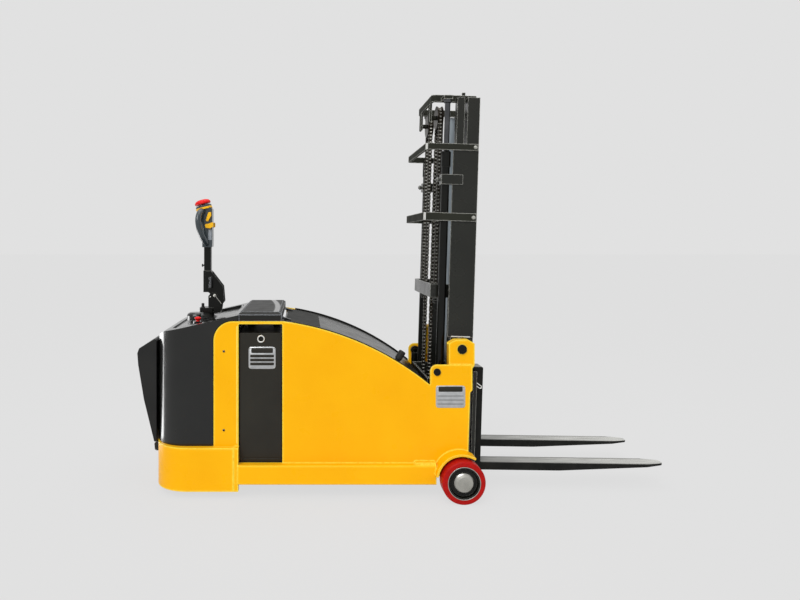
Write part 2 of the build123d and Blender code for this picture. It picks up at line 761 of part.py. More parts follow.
def castor_wheel():
    """Small solid castor wheel."""
    w, r = CASTOR_WIDTH, CASTOR_R
    edge = [(CASTOR_PIN_R + RUNNING, 0), (r - 16, 0), (r - 16, 3), (r - 5, 3), (r, 8)]
    profile = edge + [(radius, w - d) for radius, d in reversed(edge)]
    return turned(profile, (CASTOR_X - CASTOR_TRAIL, CASTOR_Y - w / 2, CASTOR_R), (0, 1, 0))


def tiller_base():
    """Block on the steering column with two outer cheeks and the tiller's pivot bolt."""
    x, z = TILLER
    half, inner, outer, pin_y = 45, CHEEK_Y + 8, CHEEK_Y + 14, CHEEK_Y + 18
    rear, front = BLOCK_X
    base = plan([(rear, -half, 10), (rear, half, 10), (front, half, 10), (front, -half, 10)], *BLOCK_Z)
    rear, front = CHEEK_X
    cheek = [
        (rear, BLOCK_Z[0]),
        (rear, z - 4, 8),
        (x - 18, z + 20, 12),
        (x + 16, z + 12, 12),
        (front + 7, BLOCK_Z[1] + 19, 8),
        (front, BLOCK_Z[0]),
    ]
    base += both(slab(cheek, inner, outer))
    base += box(CHEEK_X, (-outer, outer), BLOCK_Z)
    return base + rod((x, -pin_y, z), (x, pin_y, z), TILLER_PIN_R)


def tiller_arm():
    """Square tube in a sleeve, with wedge cheeks on the pivot, return spring and clamp knob."""
    x, z = TILLER
    arm = box(TUBE_X, (-TUBE_Y, TUBE_Y), (z + 23, TUBE_TOP_Z))
    arm += box((TUBE_X[0] - 3, TUBE_X[1] + 3), (-CHEEK_Y, CHEEK_Y), (z + 17, z + 135))
    cheek = [
        (x - 54, z + 133),
        (x - 17, z + 129, 6),
        (x + 44, z + 50, 10),
        (x + 51, z - 33, 10),
        (x + 38, z - 50, 6),
        (x - 33, z + 15),
        (x - 54, z + 23),
    ]
    arm += both(slab(cheek, CHEEK_Y, CHEEK_Y + 6))
    arm -= rod((x, -CHEEK_Y - 7, z), (x, CHEEK_Y + 7, z), TILLER_PIN_R + RUNNING)
    spring_x, spring_y, spring_top = x - 22, -CHEEK_Y - 17, z + 101
    arm += rod((spring_x, spring_y, spring_top - 61), (spring_x, spring_y, spring_top), 10)
    arm += box((spring_x - 6, spring_x + 6), (spring_y, -CHEEK_Y), (spring_top - 12, spring_top))
    knob_x, knob_z = TUBE_X[0] - 8, z + 163
    arm += rod((TUBE_X[0], 0, knob_z), (knob_x, 0, knob_z), 4)
    return arm + rod((knob_x, 0, knob_z), (knob_x - 6, 0, knob_z), 8)


def tiller_head():
    """Handle body: waisted column on the tube with a tilted crown for the belly switch."""
    x, z = TUBE_X[0], TUBE_TOP_Z
    body = [
        (x - 8, z),
        (x + 46, z, 6),
        (x + 47, z + 70, 40),
        (x + 46, z + 222, 14),
        (x - 34, z + 206, 14),
        (x - 36, z + 178, 10),
        (x - 4, z + 126, 20),
        (x + 4, z + 70, 30),
        (x - 8, z + 28, 10),
    ]
    body = slab(body, -HEAD_Y, HEAD_Y)
    bore = STEM_R + RUNNING
    profile = [(bore, 0), (CAP_R - 2, 0), (CAP_R, 4), (CAP_R, 18), (CAP_R - 4, 22), (bore, 22)]
    crown = turned(profile, *crown_place(-8))
    head = (body - rod(*crown_line(-30, 60), bore)) + crown
    for (x, z), radius in ((THROTTLE, THROTTLE_R), (ROCKER, ROCKER_R)):
        head -= rod((x, -HEAD_Y - 1, z), (x, HEAD_Y + 1, z), radius + RUNNING)
    return head


def crown_line(low, high):
    """Two points on the belly switch's line, at distances from the crown's seat."""
    x, z = CROWN
    angle = math.radians(CAP_TILT)
    along = (-math.sin(angle), 0, math.cos(angle))
    return [(x + along[0] * d, 0, z + along[2] * d) for d in (low, high)]


def crown_place(offset):
    """Start point and direction for parts turned about the belly switch's line."""
    start, end = crown_line(offset, offset + 1)
    return start, tuple(b - a for a, b in zip(start, end))


def belly_button():
    """Large red cap that reverses the truck when it meets the operator."""
    profile = [
        (0, -10),
        (STEM_R, -10),
        (STEM_R, 20),
        (CAP_R - 3, 20),
        (CAP_R, 24),
        (CAP_R - 1, 32),
        (CAP_R - 8, 40),
        (CAP_R - 22, 45),
        (0, 47),
    ]
    return turned(profile, *crown_place(0))


def tiller_grips():
    """Two closed hand loops, each one tube swept around an opening."""
    x, z = TUBE_X[0], TUBE_TOP_Z
    root_y, reach_y = HEAD_Y - 2, HEAD_Y + GRIP_REACH
    points = [
        (x + 16, root_y, z + 22),
        (x + 2, HEAD_Y + 30, z + 48),
        (x - 16, reach_y, z + 102),
        (x - 22, reach_y, z + 152),
        (x - 16, HEAD_Y + 32, z + 186),
        (x - 4, root_y, z + 194),
    ]
    path = Spline(*points)
    section = Plane(path @ 0, z_dir=path % 0) * Ellipse(18, 15)
    grip = sweep(section, path=path)
    return both(grip - tiller_head())


def thumb_wheel():
    """Butterfly throttle: a cross shaft with a winged paddle at each end."""
    x, z = THROTTLE
    inner, outer = HEAD_Y + 2, HEAD_Y + 14
    wing = [
        (x - 24, z - 8, 5),
        (x - 26, z + 12, 5),
        (x - 6, z + 14, 5),
        (x + 20, z + 24, 5),
        (x + 20, z - 2, 5),
        (x + 2, z - 12, 5),
    ]
    return rod((x, -outer, z), (x, outer, z), THROTTLE_R) + both(slab(wing, inner, outer))


def lift_rocker():
    """Rocker for raising and lowering, on a cross pin through the head."""
    x, z = ROCKER
    inner, outer = HEAD_Y + 2, HEAD_Y + 10
    tab = [
        (x - 16, z - 24, 4),
        (x - 4, z - 28, 4),
        (x + 14, z + 4, 6),
        (x + 14, z + 24, 5),
        (x - 2, z + 22, 5),
        (x - 8, z + 2, 6),
    ]
    return rod((x, -outer, z), (x, outer, z), ROCKER_R) + both(slab(tab, inner, outer))


def key_switch():
    """Upright key knob on the tiller's block."""
    profile = [(0, 0), (11, 0), (11, 4), (8, 6), (8, 22), (6, 24), (0, 24)]
    return turned(profile, (*KEY, BLOCK_Z[1]), (0, 0, 1))


def platform_deck():
    """Folded-up standing platform: a wedge with a bevelled end and two hinge knuckles."""
    front_x, low_z = HOOD_REAR_X - 6, FOLD[1] + 35
    height = PLATFORM_TOP_Z - low_z
    deck = slab(
        [
            (front_x, low_z),
            (front_x - 12, low_z),
            (PLATFORM_REAR_X + 34, low_z + 0.41 * height),
            (PLATFORM_REAR_X + 5, low_z + 0.74 * height),
            (PLATFORM_REAR_X, PLATFORM_TOP_Z - 76, 10),
            (PLATFORM_REAR_X + 9, PLATFORM_TOP_Z - 51, 10),
            (front_x - 8, PLATFORM_TOP_Z, 8),
            (front_x, PLATFORM_TOP_Z - 14),
        ],
        -PLATFORM_Y,
        PLATFORM_Y,
    )
    x, z = FOLD
    knuckle = [(front_x - 2, z + 40), (front_x - 10, z + 40), (x - 12, z - 12, 9), (x + 11, z - 12, 9)]
    for y in hinge_stations():
        for low in (y - 32, y + 18):
            high = low + 14
            deck += slab(knuckle, low, high) - rod((x, low, z), (x, high, z), FOLD_PIN_R + RUNNING)
    return deck


def channel(x, y_in, y_out, z, web):
    """Upright channel with its web at y_out and flanges towards the middle."""
    shape = box(x, (y_in, y_out), z)
    return shape - box((x[0] + FLANGE, x[1] - FLANGE), (y_in, y_out - web), z)


def mast_rail(guard):
    """Outer mast side: channel rail, rear post, battens, cylinder shelf and clamp, trunnion and tilt lug."""
    wall = 5
    rail = channel(RAIL_X, MAST_Y - RAIL_WIDTH, MAST_Y, (MAST_LOW_Z, MAST_TOP_Z), RAIL_WEB)
    post_y = (MAST_Y - POST_WIDTH, MAST_Y)
    post = box(POST_X, post_y, (MAST_LOW_Z, MAST_TOP_Z))
    hollow = [(low + wall, high - wall) for low, high in (POST_X, post_y)]
    rail += post - box(*hollow, (MAST_LOW_Z, MAST_TOP_Z - wall))
    for low in (MAST_LOW_Z, PIVOT_Z - 170, PIVOT_Z + 90):
        rail += box((POST_X[1], RAIL_X[0]), (MAST_Y - 15, MAST_Y), (low, low + 80))
    rail += box((LIFT_X - 25, POST_X[0]), post_y, (LIFT_FOOT_Z - 15, LIFT_FOOT_Z))
    rail += cylinder_clamp(guard)
    rail += rod((PIVOT_X, MAST_Y - 10, PIVOT_Z), (PIVOT_X, MAST_Y + 5, PIVOT_Z), PIVOT_R + 12)
    rail += rod((PIVOT_X, MAST_Y, PIVOT_Z), (PIVOT_X, INNER_Y + 5, PIVOT_Z), PIVOT_R)
    x, z = TILT_LUG
    lug = [(POST_X[1], z - 60), (x - 24, z - 24, 20), (x - 24, z + 24, 20), (POST_X[1], z + 60)]
    rail += slab(lug, MAST_Y, MAST_Y + TIE_THICK)
    return rail + rod((x, MAST_Y, z), (x, TILT_Y + TILT_EYE / 2 + 2, z), LUG_PIN_R)


def cylinder_clamp(guard):
    """Clamp that holds the lift cylinder to the post, with an outer strap and a rear bolt."""
    low, high = CLAMP_Z
    rear_x = LIFT_X - BARREL_R - 5
    strap_y = MAST_Y + 8
    clamp = box((rear_x, POST_X[0]), (MAST_Y - POST_WIDTH + 2, strap_y), CLAMP_Z)
    clamp += box((POST_X[0] - 1, POST_X[1]), (MAST_Y + guard, strap_y), CLAMP_Z)
    if guard:
        clamp -= box((GUARD_X[0] - 1, POST_X[0]), (MAST_Y, MAST_Y + guard), CLAMP_Z)
    clamp -= rod((LIFT_X, LIFT_Y, low), (LIFT_X, LIFT_Y, high), BARREL_R)
    middle = (low + high) / 2
    clamp += rod((rear_x, LIFT_Y, middle), (rear_x - 22, LIFT_Y, middle), 8)
    return clamp + rod((rear_x - 8, LIFT_Y, middle), (rear_x - 16, LIFT_Y, middle), 13)


def mast_ties():
    """Two hoops that join the outer rails around the back of the mast."""
    rear, front = TIE_X
    ties = None
    for height in TIE_Z:
        hoop = plan(hoop_outline(rear, front, MAST_Y + TIE_THICK, 26), *height)
        hoop -= plan(hoop_outline(rear + TIE_THICK, front, MAST_Y, 26 - TIE_THICK), *height)
        hoop -= box((GUARD_X[0] - 1, GUARD_X[1]), (-MAST_Y - GUARD, -MAST_Y), height)
        ties = hoop if ties is None else ties + hoop
    return ties


def hoop_outline(rear, front, half, corner):
    """Plan outline of a hoop, rounded at its two rear corners."""
    return [(front, -half), (rear, -half, corner), (rear, half, corner), (front, half)]


def mast_back():
    """Rear apron, chain anchor plate and foot beam that join the outer rails."""
    web_y = (MAST_Y - POST_WIDTH - 10, MAST_Y - POST_WIDTH)
    plate = 8
    apron_z = (INNER_LOW_Z + 100, PIVOT_Z - 170)
    back = both(box((BACK_X, POST_X[1]), web_y, (MAST_LOW_Z, ANCHOR_Z[1])))
    back -= both(box((BACK_X - 1, POST_X[0] - 8), web_y, (apron_z[1], ANCHOR_Z[0])))
    for height in (apron_z, ANCHOR_Z):
        back += box((BACK_X, BACK_X + plate), (-web_y[1], web_y[1]), height)
    back += box((POST_X[0], RAIL_X[1]), (-web_y[0], web_y[0]), (MAST_LOW_Z, MAST_LOW_Z + 70))
    strand_y = SHEAVE_Y + CHAIN_RADIUS
    middle = sum(ANCHOR_Z) / 2
    lug = box((BACK_X + plate, SHEAVE_X + 12), (strand_y - 14, strand_y + 14), (ANCHOR_Z[0] + 10, middle))
    lug += rod((SHEAVE_X, strand_y, ANCHOR_Z[0] - 34), (SHEAVE_X, strand_y, ANCHOR_Z[0] + 10), 7)
    lug += rod((SHEAVE_X, strand_y, ANCHOR_Z[0] - 20), (SHEAVE_X, strand_y, ANCHOR_Z[0] - 8), 12)
    return back + both(lug)


def mast_guard():
    """Sheet on the right-hand rail that closes the gap between rail and post."""
    y = (-MAST_Y - GUARD, -MAST_Y)
    return box(GUARD_X, y, GUARD_Z)


def lift_barrel():
    """Lift cylinder barrel with its gland nut."""
    foot, low, high = LIFT_FOOT_Z, *GLAND_Z
    bore = ROD_R + 3
    profile = [
        (0, foot),
        (BARREL_R, foot),
        (BARREL_R, low),
        (GLAND_R, low),
        (GLAND_R, high - 6),
        (GLAND_R - 4, high),
        (ROD_R + RUNNING, high),
        (ROD_R + RUNNING, low),
        (bore, low),
        (bore, foot + 20),
        (0, foot + 20),
    ]
    return turned(profile, (LIFT_X, LIFT_Y, 0), (0, 0, 1))


def lift_rod():
    """Chromed ram with a collar under the crosshead."""
    low, top, collar = LIFT_FOOT_Z + ROD_SEAT, INNER_TOP_Z, ROD_R + 6
    profile = [(0, low), (ROD_R, low), (ROD_R, top - 20), (collar, top - 16), (collar, top), (0, top)]
    return turned(profile, (LIFT_X, LIFT_Y, 0), (0, 0, 1))


def inner_rail():
    """Inner mast rail: channel open to the middle with a guide shoe in the outer rail."""
    rail = channel(RAIL_X, *INNER_RAIL_Y, (INNER_LOW_Z, INNER_TOP_Z), INNER_WEB)
    shoe_x = (RAIL_X[0] + FLANGE + GAP, RAIL_X[1] - FLANGE - GAP)
    for low in (INNER_LOW_Z + 10, INNER_LOW_Z + 330):
        rail += box(shoe_x, (INNER_RAIL_Y[1], MAST_Y - RAIL_WEB - GAP), (low, low + 90))
    return rail


def inner_foot():
    """Cross beam between the feet of the inner rails."""
    y = INNER_RAIL_Y[1]
    return box((RAIL_X[0] - 12, RAIL_X[0]), (-y, y), (INNER_LOW_Z, INNER_LOW_Z + FOOT_BEAM))


def crosshead():
    """Top hoop of the inner mast: arms on the rails, ram ears, sheave hangers, pins and bolts."""
    half, arm, bar = INNER_RAIL_Y[1] - 24, 20, 12
    rear, front = SHEAVE_X - HOOP_REACH, RAIL_X[1]
    z = (INNER_TOP_Z, HEAD_Z)
    head = plan(hoop_outline(rear, front, half, 24), *z)
    head -= plan(hoop_outline(rear + bar, front, half - arm, 10), *z)
    ear = box((LIFT_X - 22, LIFT_X + 22), (half - 1, LIFT_Y + 20), (INNER_TOP_Z, INNER_TOP_Z + 20))
    low, high = SHEAVE_Z - 26, INNER_TOP_Z + 4
    hanger = [(rear, high), (rear, low, 6), (rear + bar, low, 6), (rear + bar, high)]
    ear += slab(hanger, SHEAVE_Y - 24, SHEAVE_Y + 24)
    ear += rod((rear, SHEAVE_Y, SHEAVE_Z), (SHEAVE_X + 18, SHEAVE_Y, SHEAVE_Z), SHEAVE_PIN_R)
    bolt_x, bolt_y = RAIL_X[0] - 3, half - arm / 2
    ear += rod((bolt_x, bolt_y, HEAD_Z), (bolt_x, bolt_y, HEAD_Z + 16), 9)
    return head + both(ear)


def sheave():
    """Grooved chain wheel on the crosshead's pin."""
    half, groove = 15, CHAIN_RADIUS - CHAIN[1] / 2 - 0.3
    rim, bore = CHAIN_RADIUS + 10, SHEAVE_PIN_R + RUNNING
    edge = [(bore, half), (rim, half), (rim, half - 3), (groove, half - 4)]
    profile = [(radius, -d) for radius, d in edge] + edge[::-1]
    return turned(profile, (SHEAVE_X, SHEAVE_Y, SHEAVE_Z), (1, 0, 0))


def chain_strand(y, low_z):
    """One straight run of leaf chain up to the sheave, as its envelope."""
    deep, wide = CHAIN
    return box((SHEAVE_X - deep / 2, SHEAVE_X + deep / 2), (y - wide / 2, y + wide / 2), (low_z, SHEAVE_Z))


def carriage():
    """Fork carriage: two bars with end plates, side plates with roller holes and rear arms for the chains."""
    inner, outer = CARRIAGE_Y
    low, high = ROLLER_Z
    web_x = (BAR_X[0] - 22, BAR_X[0])
    frame = both(box((CARRIAGE_X, BAR_X[0]), CARRIAGE_Y, (low - 40, high + 38)))
    for bar in BAR_Z:
        frame += box(BAR_X, (-BAR_Y, BAR_Y), bar)
    frame += both(box(BAR_X, (BAR_Y - 14, BAR_Y), (BAR_Z[0][0], BAR_Z[1][1])))
    frame += box(web_x, (-outer, outer), (low + 40, high - 40))
    frame += both(box((RAIL_X[1] + 2, BAR_X[0]), CARRIAGE_Y, (BAR_Z[0][0] + 26, low - 38)))
    top, root = CHAIN_LOW_Z, CHAIN_LOW_Z - 100
    frame += box((CARRIAGE_X, CARRIAGE_X + 12), (-inner, inner), (root, top))
    rear = SHEAVE_X - 14
    strand_y = SHEAVE_Y - CHAIN_RADIUS
    arm = [(CARRIAGE_X, root), (rear, top - 24), (rear, top), (CARRIAGE_X, top)]
    frame += both(slab(arm, strand_y - 14, strand_y + 14))
    for z in ROLLER_Z:
        frame -= rod((ROLLER_X, -outer, z), (ROLLER_X, outer, z), SHAFT_R + RUNNING)
    return frame


def carriage_roller(z):
    """Cross shaft with a mast roller at each end."""
    half, face = INNER_RAIL_Y[1] - INNER_WEB - 4, 34
    edge = [(SHAFT_R, 0), (ROLLER_R - 2, 0), (ROLLER_R, 3)]
    profile = edge + [(radius, face - d) for radius, d in reversed(edge)]
    roller = turned(profile, (ROLLER_X, half - face, z), (0, 1, 0))
    return rod((ROLLER_X, -half, z), (ROLLER_X, half, z), SHAFT_R) + both(roller)


def fork():
    """Hooked fork: shank, heel and a blade that tapers to a rounded tip."""
    rise = math.tan(math.radians(FORK_RISE))
    heel_z = FORK_LOW_Z + FORK_THICK
    hook_x = BAR_X[0] - 8
    taper_z = FORK_LOW_Z + (TAPER_X - FORK_FRONT_X) * rise
    low, high = BAR_Z[0][0], BAR_Z[1][1]
    shape = [
        (FORK_FRONT_X, FORK_TOP_Z, 6),
        (FORK_FRONT_X, heel_z, 8),
        (TIP_X, TIP_Z),
        (TIP_X, TIP_Z - TIP_THICK),
        (TAPER_X, taper_z, 400),
        (FORK_FRONT_X, FORK_LOW_Z),
        (FORK_BACK_X, FORK_LOW_Z, 30),
        (FORK_BACK_X, low - 22),
        (hook_x, low - 22),
        (hook_x, low + 20),
        (BAR_X[0] - GAP, low + 20),
        (BAR_X[0] - GAP, low - GAP),
        (FORK_BACK_X, low - GAP),
        (FORK_BACK_X, high + GAP),
        (BAR_X[0] - GAP, high + GAP),
        (BAR_X[0] - GAP, high - 24),
        (hook_x, high - 24),
        (hook_x, FORK_TOP_Z),
    ]
    half = FORK_WIDTH / 2
    solid = slab(shape, FORK_Y - half, FORK_Y + half)
    reach = plan(
        [
            (hook_x - 1, FORK_Y - half),
            (TIP_X - 90, FORK_Y - half),
            (TIP_X, FORK_Y - half * 0.5, 18),
            (TIP_X, FORK_Y + half * 0.5, 18),
            (TIP_X - 90, FORK_Y + half),
            (hook_x - 1, FORK_Y + half),
        ],
        0,
        FORK_TOP_Z + 1,
    )
    return solid & reach


def tilt_line():
    """Top point, unit direction and length of the tilt cylinder at rest."""
    end = lean_point(*TILT_LUG)
    dx, dz = end[0] - TILT_TOP[0], end[1] - TILT_TOP[1]
    length = math.hypot(dx, dz)
    return (TILT_TOP[0], TILT_Y, TILT_TOP[1]), (dx / length, 0, dz / length), length


def tilt_eye(point, bore):
    """Bored eye across the tilt cylinder's line."""
    x, y, z = point
    half = TILT_EYE / 2
    eye = rod((x, y - half, z), (x, y + half, z), bore + 12)
    return eye, rod((x, y - half, z), (x, y + half, z), bore)


def tilt_barrel():
    """Tilt cylinder barrel with its top eye."""
    top, along = tilt_line()[:2]
    bore = TILT_ROD_R + RUNNING
    body = turned([(bore, 170), (bore, 40), (0, 40), (0, 14), (21, 14), (21, 160), (18, 170)], top, along)
    eye, bore = tilt_eye(top, TILT_PIN_R + RUNNING)
    return (body + eye) - bore


def tilt_rod():
    """Tilt cylinder rod with its lower eye, which has play on the mast's pin."""
    top, along, length = tilt_line()
    point = tuple(a + d * length for a, d in zip(top, along))
    low = length - 14
    body = turned([(0, 70), (TILT_ROD_R, 70), (TILT_ROD_R, low), (0, low)], top, along)
    eye, bore = tilt_eye(point, LUG_PIN_R + TILT_PLAY)
    return (body + eye) - bore


def main():
    """Build every part, stand it in the frame and write it out."""
    fixed = {
        "chassis_frame": chassis_frame(),
        "side_frame_left": side_frame(),
        "side_frame_right": right(side_frame()),
        "tilt_pins": tilt_pins(),
        "rear_skirt": rear_skirt(),
        "drive_hood": drive_hood(),
        "control_panel": control_panel(),
        "emergency_stop": emergency_stop(),
        "battery_pack": battery_pack(),
        "battery_lid": battery_lid(),
        "front_cover": front_cover(),
        "breather_cap": breather_cap(),
        "power_pack": power_pack(),
        "drive_unit": drive_unit(),
        "drive_wheel": drive_wheel(),
        "tiller_base": tiller_base(),
        "tiller_arm": tiller_arm(),
        "tiller_head": tiller_head(),
        "tiller_grips": tiller_grips(),
        "belly_button": belly_button(),
        "thumb_wheel": thumb_wheel(),
        "lift_rocker": lift_rocker(),
        "key_switch": key_switch(),
        "platform_deck": platform_deck(),
    }
    for name, shape in {
        "front_tyre": front_tyre(),
        "front_hub": front_hub(),
        "hub_cap": hub_cap(),
        "castor_fork": castor_fork(),
        "castor_wheel": castor_wheel(),
        "tilt_barrel": tilt_barrel(),
        "tilt_rod": tilt_rod(),
    }.items():
        fixed[name + "_left"] = shape
        fixed[name + "_right"] = right(shape)
    mast = {
        "mast_rail_left": mast_rail(0),
        "mast_rail_right": right(mast_rail(GUARD)),
        "mast_ties": mast_ties(),
        "mast_back": mast_back(),
        "mast_guard": mast_guard(),
        "inner_foot": inner_foot(),
        "crosshead": crosshead(),
        "carriage": carriage(),
        "carriage_roller_lower": carriage_roller(ROLLER_Z[0]),
        "carriage_roller_upper": carriage_roller(ROLLER_Z[1]),
        "chain_anchored": both(chain_strand(SHEAVE_Y + CHAIN_RADIUS, sum(ANCHOR_Z) / 2)),
        "chain_lifting": both(chain_strand(SHEAVE_Y - CHAIN_RADIUS, CHAIN_LOW_Z)),
    }
    for name, shape in {
        "lift_barrel": lift_barrel(),
        "lift_rod": lift_rod(),
        "inner_rail": inner_rail(),
        "sheave": sheave(),
        "fork": fork(),
    }.items():
        mast[name + "_left"] = shape
        mast[name + "_right"] = right(shape)
    os.makedirs("parts", exist_ok=True)
    stand = Pos(FRONT_AXLE_X, 0, 0)
    for name, shape in fixed.items():
        export_step(stand * shape, "parts/" + name + ".step")
    for name, shape in mast.items():
        export_step(stand * lean(shape), "parts/" + name + ".step")


if __name__ == "__main__":
    main()
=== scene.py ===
import math

import bpy
import numpy as np
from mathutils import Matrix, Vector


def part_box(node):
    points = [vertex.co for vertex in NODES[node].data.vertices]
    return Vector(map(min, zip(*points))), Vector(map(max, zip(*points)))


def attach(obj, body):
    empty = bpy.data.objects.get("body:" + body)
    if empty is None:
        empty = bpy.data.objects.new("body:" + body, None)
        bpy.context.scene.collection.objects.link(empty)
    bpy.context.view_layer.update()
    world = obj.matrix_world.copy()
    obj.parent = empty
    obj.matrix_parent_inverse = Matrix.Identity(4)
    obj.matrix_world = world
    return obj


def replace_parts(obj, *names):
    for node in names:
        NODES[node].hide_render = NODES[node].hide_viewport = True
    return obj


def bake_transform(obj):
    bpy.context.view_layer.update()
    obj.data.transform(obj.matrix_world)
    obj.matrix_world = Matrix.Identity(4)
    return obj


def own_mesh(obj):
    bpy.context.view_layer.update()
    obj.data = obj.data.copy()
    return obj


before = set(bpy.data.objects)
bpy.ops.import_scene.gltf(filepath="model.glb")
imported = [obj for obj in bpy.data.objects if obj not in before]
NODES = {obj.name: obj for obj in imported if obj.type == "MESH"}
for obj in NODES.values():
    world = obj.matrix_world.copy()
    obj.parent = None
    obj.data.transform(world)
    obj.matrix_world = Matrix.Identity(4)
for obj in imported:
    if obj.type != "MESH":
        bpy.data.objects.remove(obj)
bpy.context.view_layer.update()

# Sizes are in millimetres: x from the front axle, y from the truck's middle and z from the floor.
# Edges that turn by more than SHARP are drawn sharp.
MM = 0.001
AXLE_X = sum(corner.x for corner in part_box("front_tyre_right")) / 2 / MM
NEAR = (0, -1, 0)
SHARP = math.radians(35)

# Front wheel, and a bright ring on its rim that paints the highlight of the rim's edge.
WHEEL_R = 105
RIM_Y = 492
RIM_R = (76.4, 79.5)
RIM_RISE = 1.2

# Outer faces of the side plate and of the battery on the near side.
PLATE_Y = -368
BATTERY_Y = -352

# Silver plates: name, ends, heights, the face that each is on and the height of its dark rows.
PLATES = [
    ("bracket_plate", (-114, 32), (440, 551), PLATE_Y, 2.5),
    ("battery_plate", (-1047, -912), (631, 741), BATTERY_Y, 14),
]
PLATE_POINTS = 48
PLATE_POWER = 0.18
PLATE_BEVEL = ((0, -0.5), (0, 0.7), (0.6, 1.1))
BAND_RISE = 0.8
HEADING_INSET = 13
HEADING_DROP = 5
HEADING_SHARE = 0.28
ROW_INSET = 8
ROW_SHARES = (0.16, 0.34, 0.52)
RIVET_RISE = 0.9
RIVET_INSET = 7
RIVET_R = 3

# Screws of the side panels, pale strips that paint the highlight on their edges, and the rings around the
# battery's grip eyes.
SCREW_X = -1169
SCREW_Z = (329, 721)
SCREW_R = 6
PANEL_EDGE_X = (-1107, -1101.5)
PANEL_EDGE_Z = (262, 845)
EYE_X = -985
EYE_Z = 781
EYE_R = (12.3, 19.4)
EYE_RISE = 6

# Hinge of the folding platform as (x, z), and the outline of a cheek about it.
FOLD = (-1535, 205)
CHEEK = [(16, -22), (16, 22), (-4, 26), (-12, 14), (-9, -16), (0, -22)]
CHEEK_Y = 220
CHEEK_THICK = 6

# Three points (x, z) of the curved cover's arc, and the rubber sheet that lies on it.
COVER_ARC = [(-874, 864), (-536, 777), (-144, 549)]
MAT_X = (-862, -686)
MAT_Y = 347
MAT_SKIN = (-0.5, 1.5)

# Polished band of the lid: its middle, its bow per metre and its slant across the truck, and its soft edge.
POLISH_X = -916
POLISH_BOW = 0.14
POLISH_SKEW = 0.065
POLISH_EDGE = (10, 18)

# Forks: middle and outer side, the stretch where the bright upper face grows, partly wear and partly painted
# highlight, and how far from the middle it fades.
FORK_Y = 206
FORK_SIDE = 256
FORK_WEAR_AND_HIGHLIGHT = (179, 1029)
FORK_EDGE = (32, 48)

# Wire pull of a fork's latch: middle (x, z) and radius of its bend, its slope, its two legs and its wire.
LATCH_BEND = (134, 521)
LATCH_R = 7
LATCH_SLOPE = math.radians(35)
LATCH_LEGS = (30, 24)
LATCH_WIRE = 3

# Mast: its lean at rest, the trunnion that it turns on, and the trunnion's cap as (radius, distance).
LEAN = math.radians(1.8)
PIVOT = np.array([18.5, 0, 730])
TRUNNION_END = 363
TRUNNION_CAP = [(23.5, 0), (23.5, 1.5), (21.5, 2.5)]

# Hoops behind the mast: rear, half width, corner, heights, the degrees of a corner where a bright strip
# paints the bend's highlight, and bolts.
TIE_REAR = -184
TIE_Y = 312
TIE_CORNER = 26
TIE_Z = [(1370, 1411), (1729, 1762)]
BEND_HIGHLIGHT_TURN = (195, 232)
BEND_HIGHLIGHT_SKIN = 0.6
BEND_HIGHLIGHT_INSET = 1.5
TIE_BOLT_X = 66
TIE_BOLT = 13

# Bright strip on the guard sheet's lower edge: a painted highlight.
GUARD_X = (-27, 69)
GUARD_Y = (-302, -304.5)
GUARD_Z = (782, 788)

# Leaf chain: pitch, depth along the truck, width, leaves, shares of waist and web, and pins with bushes.
CHAIN_PITCH = 19.05
CHAIN_DEEP = 20
CHAIN_WIDE = 12
LEAVES = 8
LEAF = CHAIN_DEEP / LEAVES
WAIST_SHARE = 0.62
WEB_SHARE = 0.5
PIN_R = 3.0
PIN_BEVEL = 0.8
PIN_END = 0.8
BUSH_R = 4.6

# Chain runs on the upright mast. The fixed run ends FREE_LINKS short of the sheave. The run paid out and
# the links between are slimmer, because they lie inside the fixed run at rest.
CHAIN_X = -93
SHEAVE_Y = 139
SHEAVE_Z = 1918
CHAIN_RADIUS = 52
TURN_PINS = 10
ANCHOR_Z = 1011
CARRIAGE_Z = 400
LIFT = 1380
FREE_LINKS = 2
PAID_SLIM = 0.94
BETWEEN_SLIM = 0.9
BETWEEN_DROP = (60, 20)

# Tiller arm's pivot on its base, and what is placed from it.
TILLER = np.array([-1257, 0, 973])
SPRING_FOOT = TILLER + [-22, -41, 42]
SPRING_R = 9.2
SPRING_WIRE = 1.7
SPRING_PITCH = 5.2
SPRING_TURNS = 11
ARM_BOLT_END = TILLER + [0, -41, 0]
ARM_BOLT = 12
BASE_SCREW_END = TILLER + [-24, -37.5, -8]
BASE_SCREW_R = 4
STAY_TOP = TILLER + [8, -40, -9]
STAY_ALONG = (0.62, 0, -0.78)
STAY_R = 2.2
STAY_LONG = 44
SIDE_PANEL_X = (TILLER[0] - 36, TILLER[0] - 17)
SIDE_PANEL_Y = 32
SIDE_PANEL_Z = (TILLER[2] + 301, TILLER[2] + 361)
CROWN = TILLER + [-64, 0, 479]
CROWN_TILT = math.radians(15)
CROWN_R = (39, 45.4)
CROWN_RISE = 11
CROWN_DROP = 9

# Key light: strength, softness, tilt and turn in degrees.
KEY_POWER = 2.0
KEY_SOFT = 40
KEY_TURN = (48, -22)

# Area lamps: name, place and size in metres, tilt and turn in degrees, watts, and if only gloss sees it.
LAMPS = [
    ("top_softbox", (-0.2, 0.2, 4.2), (3.5, 3.5), (0, 0), 60, False),
    ("rear_strip", (-2.01, 0.27, 0.45), (0.66, 0.9), (90, -117), 16, True),
]
STUDIO_GREY = "#E1E1E1"
FLOOR_REACH = 60

# Camera: its place, and the photograph's width, focal length and shift in pixels.
CAMERA = (-765, -3821, 1272)
PHOTO_WIDE = 800
FOCAL = 694
SHIFT = (95, -59.4)
SENSOR = 36


def linear(code):
    """Linear RGBA of an sRGB hex colour."""
    values = np.array([int(code[i:i + 2], 16) for i in (1, 3, 5)]) / 255
    low, high = values / 12.92, ((values + 0.055) / 1.055) ** 2.4
    return (*np.where(values <= 0.04045, low, high).tolist(), 1.0)


